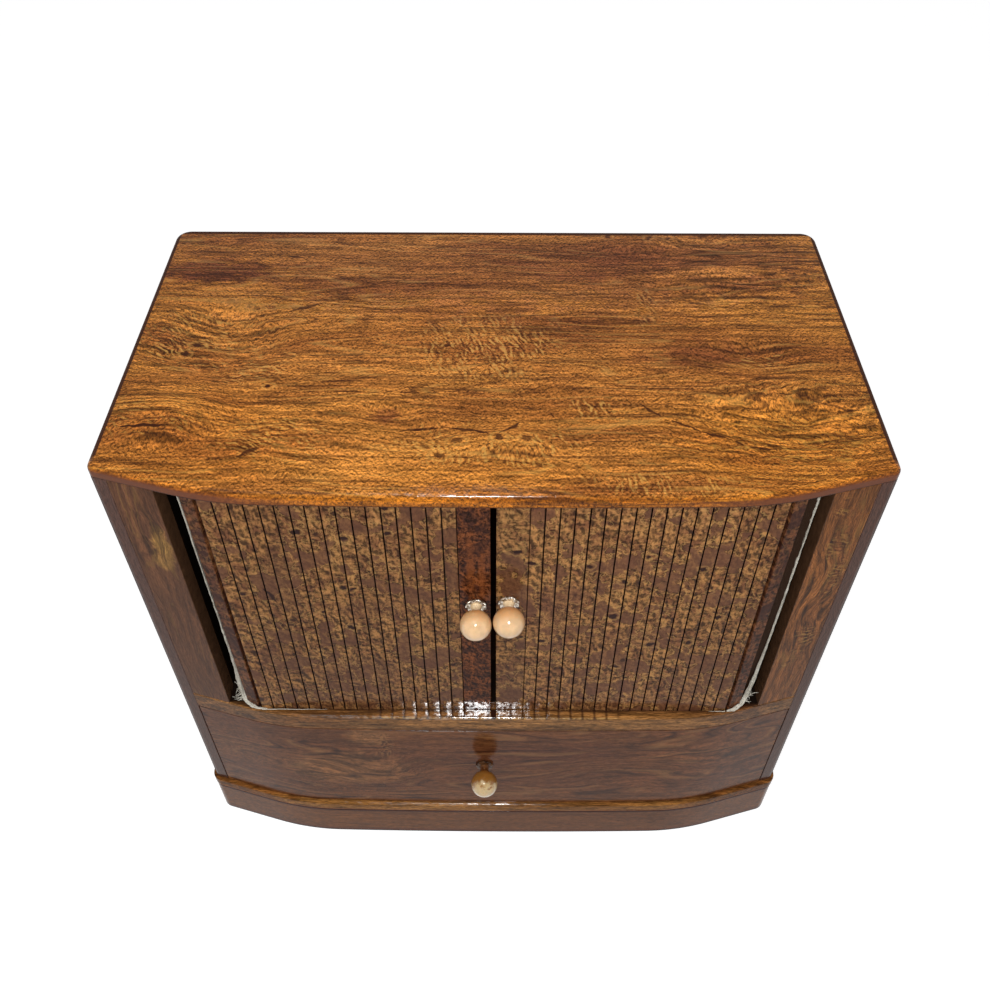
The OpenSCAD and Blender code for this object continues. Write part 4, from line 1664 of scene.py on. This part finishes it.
    def pocket_stain(self) -> WoodFinish:
        """The nearly black painted shade inside the compartment, on its liners and shelf."""
        return WoodFinish("pocket_stain", (0.03, 0.014, 0.008), (0.014, 0.007, 0.005), along=Along.Z,
                          lacquer=Lacquer(0.5, 0.2, 1.15))

    def back_stain(self) -> WoodFinish:
        """The dull stain of the back panel."""
        return WoodFinish("back_stain", (0.12, 0.055, 0.028), (0.07, 0.032, 0.018), along=Along.Z,
                          ripple=0.3, lacquer=Lacquer(0.45, 0.2, 1.25))

    def stile(self, side: Side) -> StileFinish:
        """The veneer of one front stile, stained dark where it turns in to the doors.

        Args:
            side: The stile's side.

        Returns:
            The finish.
        """
        face_y = -4.5
        if side is Side.LEFT:
            return StileFinish(
                "left_stile_veneer", (0.175, 0.069, 0.028), (0.11, 0.043, 0.019),
                fibre=0.28,
                ridge=0.25,
                shine=(0.4, 0.21, 0.05),
                ripple=0.35,
                lights=front_marks(face_y, 6.0, (-128.1, 231.4, 5.5, 15.0, 0.8),
                                   (-130.6, 221.4, 6.0, 7.0, 0.6)),
                flames=front_marks(face_y, 8.0, (-133.6, 236.4, 12.0, 18.0, 1.0)),
            )
        return StileFinish(
            "right_stile_veneer", (0.26, 0.092, 0.023), (0.155, 0.054, 0.016),
            fibre=0.42,
            ridge=0.35,
            shine=(0.45, 0.24, 0.06),
            ripple=0.4,
            ticks=front_marks(
                face_y, 8.0,
                (133.5, 231.5, 6, 9, 0.8), (139.4, 213.5, 6, 8, 0.8),
                (136.4, 203.5, 7, 7, 0.8), (135.4, 170.5, 8, 9, 0.8),
                (132.4, 155.5, 7, 8, 0.8), (130.6, 255.5, 5, 8, 0.8),
            ),
            flames=front_marks(face_y, 8.0, (133.5, 200.0, 12.0, 60.0, 1.0)),
        )

    def back_screws(self) -> None:
        """Three countersunk slotted screws through the back panel."""
        count = 3
        slot = 0.0006
        rim = 0.0003
        low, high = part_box("back_screws")
        head = (high.z - low.z) / 2
        shank = head / 2
        depth = high.y - low.y
        profile = [(0.0, 0.0), (0.0, head), (rim, head), (head, shank), (0.8 * depth, shank), (depth, 0.0)]
        whole = bmesh.new()
        for i in range(count):
            one = turned(profile, 24)
            slotted(one, head, slot, slot)
            x = low.x + head + i * (high.x - low.x - 2 * head) / (count - 1)
            place = Matrix.Translation((x, high.y, (low.z + high.z) / 2))
            bmesh.ops.transform(one, matrix=place, verts=one.verts)
            part = bpy.data.meshes.new("screw")
            one.to_mesh(part)
            one.free()
            whole.from_mesh(part)
            bpy.data.meshes.remove(part)
        brass = PlainFinish("screw_brass", (0.62, 0.42, 0.16), (0.36, 0.22, 0.09), 0.35, 1.0, 900.0)
        piece = finished_object("back_screws.turned", whole, brass.material())
        placed_piece(piece, "case", "screw_brass", "back_screws")


@dataclass
class Drawer:
    """The drawer and its parts."""

    effects: Effects

    def face_veneer(self) -> WoodFinish:
        """The front's crossbanded veneer.

        Returns:
            The finish.
        """
        face_y = -14.5
        return WoodFinish(
            "drawer_veneer", (0.178, 0.064, 0.022), (0.14, 0.048, 0.019),
            shift=(0.3, 0.1, 0.2),
            waver=0.012,
            line_scale=110.0,
            line_share=0.2,
            fibre=0.34,
            ridge=0.2,
            shine=(0.36, 0.17, 0.06),
            ripple=0.75,
            ripple_scale=(7.0, 40.0, 40.0),
            streak_scale=(4.0, 40.0, 40.0),
            lacquer=Lacquer(ior=1.165),
            flames=front_marks(face_y, 20.0, (-70.0, 72.0, 46.0, 36.0, 0.8), (95.0, 72.0, 50.0, 40.0, 0.6)),
            lights=(
                Mark((-74.0, face_y, 68.0), (38.0, 12.0, 22.0), 0.3),
                Mark((-60.0, face_y, 100.0), (14.0, 10.0, 10.0), 0.4),
            ),
            stains=front_marks(face_y, 12.0, (30.0, 84.0, 60.0, 22.0, 0.3), (-5.0, 60.0, 22.0, 30.0, 0.3)),
            bulges=(
                Mark((-60.0, face_y, 66.0), (34.0, 20.0, 22.0), push=(0.0, 0.0, 9.0)),
                Mark((70.0, face_y, 70.0), (50.0, 20.0, 26.0), push=(0.0, 0.0, -7.0)),
            ),
            ticks=front_marks(face_y, 8.0, (-54.0, 92.0, 7.0, 14.0, 0.8), (-58.0, 100.0, 10.0, 5.0, 0.7)),
            glare=(Mark((-24.0, face_y, 106.5), (30.0, 4.0, 1.0)),),
        )

    def bare_wood(self) -> WoodFinish:
        """The waxed wood of the inner parts."""
        return WoodFinish("drawer_wood", (0.54, 0.36, 0.2), (0.44, 0.28, 0.14), (0.2, 0.1, 0.05),
                          along=Along.Y, line_share=0.4, lacquer=Lacquer(0.45, 0.2, 1.35))

    def build(self) -> None:
        """Dresses the front and the bare inner parts."""
        dressed("drawer_front", "drawer", "drawer_face_wood", polished(self.face_veneer(), self.effects))
        bare = polished(self.bare_wood(), self.effects)
        for node in ("drawer_left_side", "drawer_right_side", "drawer_back", "drawer_bottom"):
            dressed(node, "drawer", "inside_wood", bare)


# The doors


@dataclass
class TambourDoor:
    """One sliding door: slats on canvas behind a leading stile.

    Lengths are in millimetres from the front corners.
    """

    side: Side
    effects: Effects
    burr: Material
    cloth: Material
    slat_count: int = 17
    slat_gap: float = 0.4
    edge_radius: float = 0.3
    turn_x: float = 108.9
    turn_y: float = 2.0
    turn_radius: float = 8.8
    cloth_start: float = 13.7
    cloth_thick: float = 0.5
    cloth_foot: float = 119.5
    cloth_head: float = 262.5
    sway: float = 0.06
    foot_z: float = 118.3
    loose_x: float = 123.8
    loose_threads: int = 16

    @property
    def joint(self) -> str:
        """The joint that the door slides on."""
        return self.side.word + "_door_slide"

    def mirrored(self, x: float, y: float, z: float) -> Point:
        """A right-hand point moved to this door's side."""
        return self.side.value * x, y, z

    def build(self) -> None:
        """Makes the slats and the cloth, and dresses the stile and the tail."""
        word = self.side.word
        self.slats()
        lead = self.burr
        if self.side is Side.LEFT:
            lead = polished(self.dark_burr(), self.effects)
        dressed(word + "_lead_stile", word + "_door", "lead_wood", lead)
        dressed(word + "_tail_slat", "case", "tail_wood", polished(self.tail_burr(), self.effects))
        self.canvas()

    def dark_burr(self) -> BurrFinish:
        """The veneer of the left leading stile, dark but for two light streaks.

        Returns:
            The finish.
        """
        return BurrFinish(
            "dark_stile_burr", (0.19, 0.057, 0.018), (0.05, 0.017, 0.01),
            line=(0.01, 0.005, 0.004),
            shine=(0.32, 0.09, 0.024),
            dark=(0.035, 0.013, 0.01),
            scale=1.3,
            calm=0.5,
            lights=front_marks(-10.0, 8.0, (-9.0, 226.0, 2.2, 24.0, 0.55), (-4.6, 220.0, 1.8, 20.0, 0.5)),
            lacquer=Lacquer(ior=1.14),
            glare=FOOT_GLARE,
        )

    def tail_burr(self) -> BurrFinish:
        """The dull veneer of the tail slat.

        Returns:
            The finish.
        """
        return BurrFinish(
            self.side.word + "_tail_burr", (0.19, 0.068, 0.026), (0.085, 0.028, 0.014),
            line=(0.012, 0.005, 0.003),
            shine=(0.26, 0.12, 0.04),
            dark=(0.06, 0.02, 0.013),
            shift=(0.2, 0.0, 0.1),
            lacquer=Lacquer(0.2, 0.1, 1.12),
        )

    def gather(self, piece: Piece) -> None:
        """Gives a piece its own copy of its mesh.

        Args:
            piece: The slats or a length of cloth.
        """
        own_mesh(piece)

    def slats(self) -> None:
        """The narrow slats, with a tone of their own and flanks turned nearly black by painted shade."""
        word = self.side.word
        low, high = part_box(word + "_slats")
        gap = self.slat_gap * MM
        pitch = (high.x - low.x + gap) / self.slat_count
        radius = self.edge_radius * MM
        dice = random.Random(7 + self.side.value)
        lift = 0.45 if self.side is Side.RIGHT else 0.0
        shape = bmesh.new()
        tone = shape.verts.layers.float.new("slat_tone")
        # Painted shade: one on each slat's flanks and back, which the burr finish turns nearly black.
        groove = shape.verts.layers.float.new("groove")
        for i in range(self.slat_count):
            centre = Vector((low.x + (i + 0.5) * pitch - gap / 2, (low.y + high.y) / 2, (low.z + high.z) / 2))
            size = Vector((pitch - gap, high.y - low.y, high.z - low.z))
            made = bmesh.ops.create_cube(shape, size=1.0)["verts"]
            place = Matrix.Translation(centre) @ Matrix.Diagonal((*size, 1.0))
            bmesh.ops.transform(shape, matrix=place, verts=made)
            edges = {e for v in made for e in v.link_edges}
            front = [e for e in edges if self.is_front_edge(e, centre.y, size.z)]
            new = bmesh.ops.bevel(shape, geom=front, offset=radius, segments=4, profile=0.5, affect="EDGES",
                                  material=-1)["verts"]
            own = lift + 0.55 * dice.random()
            for vert in set(made) | set(new):
                if vert.is_valid:
                    vert[tone] = own
                    vert[groove] = min((vert.co.y - low.y) / radius, 1.0)
        piece = finished_object(word + "_slat_row", shape, self.burr)
        placed_piece(piece, "case", "slat_wood", word + "_slats")
        self.gather(piece)

    def is_front_edge(self, edge: bmesh.types.BMEdge, middle: float, height: float) -> bool:
        """Tells if an edge is one of a slat's two upright ones in front.

        Args:
            edge: An edge of the slat.
            middle: The middle of the slat along Y.
            height: The slat's height.

        Returns:
            True if it is.
        """
        start, end = (v.co for v in edge.verts)
        return max(start.y, end.y) < middle and abs(start.z - end.z) > height / 2

    def cloth_sheet(self, name: str, path: Sequence[Point], rows: int) -> Piece:
        """A standing strip of canvas along a plan path.

        Args:
            name: The piece's name.
            path: X and Y of its middle, and its share of adhesive and painted shade, from the leading edge
                outwards.
            rows: Steps in its height.

        Returns:
            The piece, with its thickness.
        """
        shape = bmesh.new()
        glue = shape.verts.layers.float.new("glue")
        bmesh.ops.create_grid(shape, x_segments=len(path) - 1, y_segments=rows, size=0.5)
        height = self.cloth_head - self.cloth_foot
        dice = random.Random(31)
        for vert in shape.verts:
            x, y, share = path[round((vert.co.x + 0.5) * (len(path) - 1))]
            z = self.cloth_foot + (vert.co.y + 0.5) * height
            vert[glue] = share
            vert.co = placed(self.mirrored(x, y + self.sway * (dice.random() - 0.5), z))
        bmesh.ops.solidify(shape, geom=shape.faces[:], thickness=self.cloth_thick * MM)
        bmesh.ops.recalc_face_normals(shape, faces=shape.faces)
        return finished_object(name, shape, self.cloth, 50.0)

    def canvas(self) -> None:
        """The canvas behind the slats, its turned hem, and the frayed selvedge that shows beside the tail."""
        word = self.side.word
        back = self.turn_y - self.turn_radius + self.cloth_thick / 2
        steps = 24
        span = self.turn_x - self.cloth_start
        path = [(self.cloth_start + span * i / steps, back, 0.8) for i in range(steps + 1)]
        face = self.cloth_sheet(word + "_canvas.face", path, 20)
        placed_piece(face, "case", "canvas", word + "_canvas")
        self.gather(face)
        turn = self.cloth_sheet(word + "_canvas.turn", self.turn_path(), 60)
        placed_piece(turn, "case", "canvas", word + "_canvas")
        selvedge = self.selvedge()
        thread = self.foot_thread()

    def turn_path(self) -> list[Point]:
        """Plan of the canvas from the tail's inner edge to its own outer edge.

        Returns:
            X, Y and the share of adhesive and painted shade at each point.
        """
        path = [(109.0, -6.5, 0.9), (111.0, -5.9, 0.9), (113.4, -5.0, 0.9)]
        if self.side is Side.LEFT:
            return path + [(114.6, -4.4, 0.9), (115.4, -4.7, 0.8), (115.9, -5.5, 0.6), (116.15, -6.5, 0.3)]
        return path + [(115.4, -4.2, 0.9), (117.6, -3.5, 0.9), (119.8, -3.1, 0.9), (121.0, -3.0, 0.5)]

    def selvedge_path(self) -> tuple[list[Point], list[float]]:
        """The way of the canvas's outer edge from its head down and inwards along the foot.

        Returns:
            Its points, and its radius at each.
        """
        if self.side is Side.LEFT:
            rows = (
                (116.3, -7.1, 262.5, 0.22), (116.3, -7.2, 240, 0.2), (116.35, -7.3, 215, 0.24),
                (116.3, -7.2, 190, 0.22), (116.4, -6.9, 170, 0.3), (116.6, -6.5, 152, 0.55),
                (117.2, -5.8, 140, 0.85), (117.6, -5.5, 130, 1.05), (117.2, -6.1, 123.5, 1.15),
                (115.8, -7.7, 120.2, 1.15), (113.2, -9.7, 119.2, 0.85), (110, -10.6, 118.8, 0.5),
                (106.5, -10.8, 118.6, 0.25),
            )
        else:
            rows = (
                (121.3, -3, 262.5, 0.3), (121.5, -2.9, 240, 0.34), (121.3, -3, 215, 0.3),
                (121.2, -3.1, 190, 0.4), (120.9, -3.3, 170, 0.45), (120.6, -3.5, 152, 0.6),
                (120.1, -3.9, 140, 0.8), (119.4, -4.5, 130, 0.95), (118.2, -5.7, 123.5, 1),
                (116.4, -7.7, 120.4, 1.1), (114, -9.5, 119.2, 1), (111.5, -10.4, 118.9, 0.75),
                (109.5, -10.7, 118.7, 0.3),
            )
        return [row[:3] for row in rows], [row[3] for row in rows]

    def selvedge(self) -> Piece:
        """The pale frayed edge of the canvas: three twisted plies, and loose threads at the foot.

        Returns:
            The piece.
        """
        plies = 3
        rough = 0.09
        path, radii = self.selvedge_path()
        shape = bmesh.new()
        dice = random.Random(11 + self.side.value)
        for ply in range(plies):
            turn = math.tau * ply / plies
            twist = [0.55 * r for r in radii]
            ply_path = [(x + t * math.cos(turn + 0.9 * i), y + t * math.sin(turn + 0.9 * i), z)
                        for i, ((x, y, z), t) in enumerate(zip(path, twist))]
            strand(shape, [self.mirrored(*p) for p in ply_path], [0.62 * r for r in radii])
        for vert in shape.verts:
            vert.co += Vector((dice.gauss(0, 1), dice.gauss(0, 1), dice.gauss(0, 1))) * rough * MM
        for _ in range(self.loose_threads):
            loose = [self.mirrored(min(x, self.loose_x), y, z) for x, y, z in self.loose_path(dice)]
            strand(shape, loose, [0.16, 0.14, 0.12, 0.1, 0.05], 3)
        bmesh.ops.recalc_face_normals(shape, faces=shape.faces)
        piece = finished_object(self.side.word + "_selvedge", shape, self.cloth, 60.0)
        return placed_piece(piece, "case", "canvas")

    def loose_path(self, dice: random.Random) -> list[Point]:
        """A loose thread that wanders from the selvedge's foot.

        Args:
            dice: The source of the random draws.

        Returns:
            Its points.
        """
        z = 119.0 + 13.0 * dice.random()
        path = [(117.0 + 1.5 * dice.random(), -5.5 - 1.5 * dice.random(), z)]
        for _ in range(4):
            x, y, z = path[-1]
            across = x + dice.uniform(-0.6, 1.7)
            back = y + dice.uniform(-1.1, 0.9)
            path.append((across, back, max(z + dice.uniform(-1.6, 1.0), self.foot_z)))
        return path

    def foot_thread(self) -> Piece:
        """The pulled thread that lies along the slats' feet.

        Returns:
            The piece.
        """
        dice = random.Random(5 + self.side.value)
        start = 108.7
        end = 78.0 if self.side is Side.LEFT else 101.0
        count = 12
        path = []
        for i in range(count):
            x = start + (end - start) * i / (count - 1)
            path.append(self.mirrored(x, -10.7 + dice.uniform(-0.12, 0.12), 118.25 + dice.uniform(0.0, 0.12)))
        shape = bmesh.new()
        strand(shape, path, [0.22 - 0.015 * i for i in range(count)], 3)
        bmesh.ops.recalc_face_normals(shape, faces=shape.faces)
        piece = finished_object(self.side.word + "_foot_thread", shape, self.cloth, 60.0)
        placed_piece(piece, "case", "canvas")
        self.gather(piece)
        return piece


@dataclass
class BallKnob:
    """A turned ball on a neck, with a crimped collar against the wood and a screw from behind."""

    node: str
    body: str
    ball_slot: str
    ball: Material
    neck: Material
    collar: Material
    brass: Material
    crimps: int = 9
    crimp_depth: float = 0.75

    def build(self) -> None:
        """Makes the ball, the neck, the collar and the screw."""
        ball_low, ball_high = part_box(self.node + "_ball")
        neck_low, neck_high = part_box(self.node + "_neck")
        radius = (ball_high.z - ball_low.z) / 2
        base = Vector(((ball_low.x + ball_high.x) / 2, neck_high.y, (ball_low.z + ball_high.z) / 2))
        reach = base.y - ball_low.y - radius
        collar_radius = (neck_high.z - neck_low.z) / 2
        self.ball_shape(base, radius, reach)
        self.neck_shape(base, collar_radius, reach, radius)
        self.collar_shape(base, collar_radius)
        self.screw_shape()

    def put(self, name: str, shape: Shape, base: Vector, material: Material,
            slot: str, part: str) -> None:
        """Moves a turned shape to its place and makes it a piece.

        Args:
            name: The end of the piece's name, after the knob's.
            shape: The shape, with its back at the origin.
            base: The middle of its back.
            material: Its finish.
            slot: The name of a material slot, which placed_piece does not use.
            part: The end of its node's name, after the knob's.
        """
        bmesh.ops.transform(shape, matrix=Matrix.Translation(base), verts=shape.verts)
        piece = finished_object(self.node + name, shape, material, 40.0)
        placed_piece(piece, self.body, slot, self.node + part)

    def ball_shape(self, base: Vector, radius: float, reach: float) -> None:
        """The ball, with a small seat for the neck at its back.

        Args:
            base: The middle of the knob's foot.
            radius: The ball's radius.
            reach: How far its middle is from the foot.
        """
        seat = 0.37 * radius
        start = 180.0 - math.degrees(math.asin(seat / radius))
        profile = [(reach - 0.82 * radius, 0.0), (reach - 0.82 * radius, 0.9 * seat)]
        profile += arc_profile((reach, 0.0), radius, start, 0.0, 30)
        self.put("_ball.turned", turned(profile, 64), base, self.ball, self.ball_slot, "_ball")

    def neck_shape(self, base: Vector, collar: float, reach: float, radius: float) -> None:
        """The waisted neck between the collar and the ball.

        Args:
            base: The middle of the knob's foot.
            collar: The collar's radius.
            reach: How far the ball's middle is from the foot.
            radius: The ball's radius.
        """
        end = reach - 0.8 * radius
        waist = ((0.0, 0.0), (0.0, 0.62), (0.2, 0.62), (0.42, 0.5), (0.7, 0.48), (0.9, 0.56), (1.0, 0.6),
                 (1.0, 0.0))
        profile = [(along * end, wide * collar) for along, wide in waist]
        self.put("_neck.turned", turned(profile, 40), base, self.neck, "neck_metal", "_neck")

    def collar_shape(self, base: Vector, collar: float) -> None:
        """The thin metal collar, crimped unevenly round its rim.

        Args:
            base: The middle of the knob's foot.
            collar: The collar's radius.
        """
        dice = random.Random(sum(ord(c) for c in self.node))
        thick = 0.0013
        steps = 8
        profile = [(0.0, 0.55 * collar)]
        for i in range(steps + 1):
            angle = math.pi * i / steps
            profile.append((0.5 * thick * (1.0 - math.cos(angle)), (0.86 + 0.14 * math.sin(angle)) * collar))
        profile += [(1.2 * thick, 0.66 * collar), (1.1 * thick, 0.56 * collar)]
        shape = turned(profile, 90)
        phase = dice.uniform(0, math.tau)
        lean = [dice.uniform(0.5, 1.0) for _ in range(self.crimps)]
        for vert in shape.verts:
            out = math.hypot(vert.co.x, vert.co.z)
            if out < 0.6 * collar:
                continue
            angle = math.atan2(vert.co.z, vert.co.x) + phase
            own = lean[int(self.crimps * (angle % math.tau) / math.tau) % self.crimps]
            wave = math.sin(self.crimps * angle) * own
            share = (out - 0.6 * collar) / (0.4 * collar)
            widened = 1.0 + 0.07 * wave * share
            vert.co.x *= widened
            vert.co.z *= widened
            vert.co.y -= self.crimp_depth * MM * max(wave, 0.0) * share
        self.put("_collar", shape, base, self.collar, "neck_metal", "_neck")

    def screw_shape(self) -> None:
        """The round-headed slotted screw that holds the knob."""
        low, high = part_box(self.node + "_screw")
        head = (high.z - low.z) / 2
        length = high.y - low.y
        dome = 0.0014
        tip = 0.001
        steps = 6
        angles = [math.pi / 2 * i / steps for i in range(steps + 1)]
        profile = [(dome * (1 - math.cos(a)), head * math.sin(a)) for a in angles]
        profile += [(dome, head / 2), (length - tip, head / 2), (length, 0.0)]
        shape = turned(profile, 32)
        slotted(shape, head, 0.0008, 0.0006)
        base = Vector(((low.x + high.x) / 2, high.y, (low.z + high.z) / 2))
        self.put("_screw.turned", shape, base, self.brass, "screw_brass", "_screw")


def burr_finish() -> BurrFinish:
    """The doors' burr veneer, which runs on from slat to slat.

    Returns:
        The finish.
    """
    face_y = -10.0
    reach = 8.0
    eyes = (
        (9, 233.5, 2.2), (15, 226.5, 1.7), (37.9, 225.5, 2), (51.9, 215.5, 1.8), (60.8, 231.5, 1.6),
        (82.7, 223.5, 1.7), (86.7, 208.5, 1.3), (93.6, 191.5, 1.7), (83.7, 173.5, 1.8), (53.8, 154.5, 1.5),
        (20.9, 173.4, 1.5), (49.8, 192.5, 2), (67.7, 171.5, 2.4),
        (-74.7, 245.5, 1.8), (-60.8, 210.4, 1.7), (-56.8, 209.4, 1.5), (-59.8, 183.4, 1.8),
        (-70.8, 194.4, 1.2), (-32.9, 165.4, 1.5), (-40.8, 244.5, 1.6), (-39.8, 258.5, 1.8),
        (-101.7, 206.4, 1.6), (-30.9, 161.4, 1.4), (-56.8, 240.5, 2.2),
    )
    stains = front_marks(
        face_y, reach,
        (-59.8, 148.4, 26, 16, 0.5), (-83.7, 214.4, 8, 30, 0.45), (-23.9, 226.5, 9, 12, 0.5),
        (-95.7, 158.3, 9, 20, 0.45), (-47.8, 196.4, 22, 9, 0.3), (29.9, 206.5, 12, 8, 0.5),
        (23.9, 190.5, 9, 26, 0.4), (87.6, 140.5, 14, 14, 0.45), (59.8, 176.5, 26, 9, 0.35),
        (43.8, 140.5, 14, 12, 0.3), (7.5, 142, 8, 26, 0.35), (-60, 124, 60, 12, 0.35),
        (60, 124, 60, 12, 0.35),
    )
    strokes = (
        Stroke((-92.7, face_y, 209.4), (-88.2, face_y, 200.4), 1.1, 0.95),
        Stroke((-91.7, face_y, 240.5), (-59.8, face_y, 232.5), 0.7, 0.5),
        Stroke((-61.8, face_y, 222.4), (-33.8, face_y, 220.4), 0.6, 0.5),
        Stroke((29.9, face_y, 210.5), (51.9, face_y, 210.5), 0.6, 0.5),
    )
    return BurrFinish(
        "burr_veneer", (0.33, 0.155, 0.05), (0.14, 0.054, 0.022),
        line=(0.03, 0.01, 0.007),
        shine=(0.56, 0.31, 0.1),
        dark=(0.15, 0.061, 0.033),
        eyes=tuple(Mark((x, face_y, z), (1.25 * r, reach, r)) for x, z, r in eyes),
        stains=stains,
        strokes=strokes,
        glare=FOOT_GLARE,
        lacquer=Lacquer(0.12, 0.1, 1.16),
    )


def ivory_ball() -> BallFinish:
    """The finish of the doors' balls."""
    return BallFinish("ivory_knob", (0.7, 0.34, 0.125), (0.82, 0.54, 0.29), (0.0, -20.5, 201.0),
                      shift=0.0025, spread=0.004)


def amber_ball() -> BallFinish:
    """The finish of the drawer's ball."""
    return BallFinish("amber_knob", (0.3, 0.125, 0.022), (0.7, 0.5, 0.25), (-4.4, -25.5, 74.0),
                      shift=-0.0006, spread=0.002, rough=0.08, ragged=0.018)


def main() -> None:
    """Builds the dressed cabinet and its studio."""
    logging.basicConfig(level=logging.INFO, format="%(message)s")
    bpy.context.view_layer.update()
    bpy.context.scene.view_settings.view_transform = "Standard"
    Studio().build()
    effects = Effects()
    Case(effects).build()
    Drawer(effects).build()
    burr = polished(burr_finish(), effects)
    cloth = CanvasFinish("door_canvas").material()
    brass = PlainFinish("knob_screw_brass", (0.66, 0.45, 0.18), (0.4, 0.25, 0.1), 0.32, 1.0, 900.0)
    brass_look = brass.material()
    ivory = ivory_ball().material()
    cream = PlainFinish("cream_neck", (0.85, 0.66, 0.42), (0.7, 0.48, 0.26), 0.3).material()
    silver = PlainFinish("crimped_metal", (0.95, 0.9, 0.8), (0.3, 0.22, 0.14), 0.3, 1.0, 700.0, 0.00015)
    silver_look = silver.material()
    amber = amber_ball().material()
    resin = PlainFinish("amber_neck", (0.16, 0.055, 0.012), (0.07, 0.022, 0.007), 0.12).material()
    bronze = PlainFinish("amber_collar", (0.12, 0.05, 0.018), (0.03, 0.012, 0.006), 0.2, shine=0.15)
    bronze_look = bronze.material()
    for side in Side:
        TambourDoor(side, effects, burr, cloth).build()
        looks = (ivory, cream, silver_look, brass_look)
        BallKnob(side.word + "_knob", side.word + "_door", "ivory_ball", *looks).build()
    looks = (amber, resin, bronze_look, brass_look)
    BallKnob("drawer_knob", "drawer", "amber_ball", *looks, crimp_depth=0.0).build()


if __name__ == "__main__":
    main()
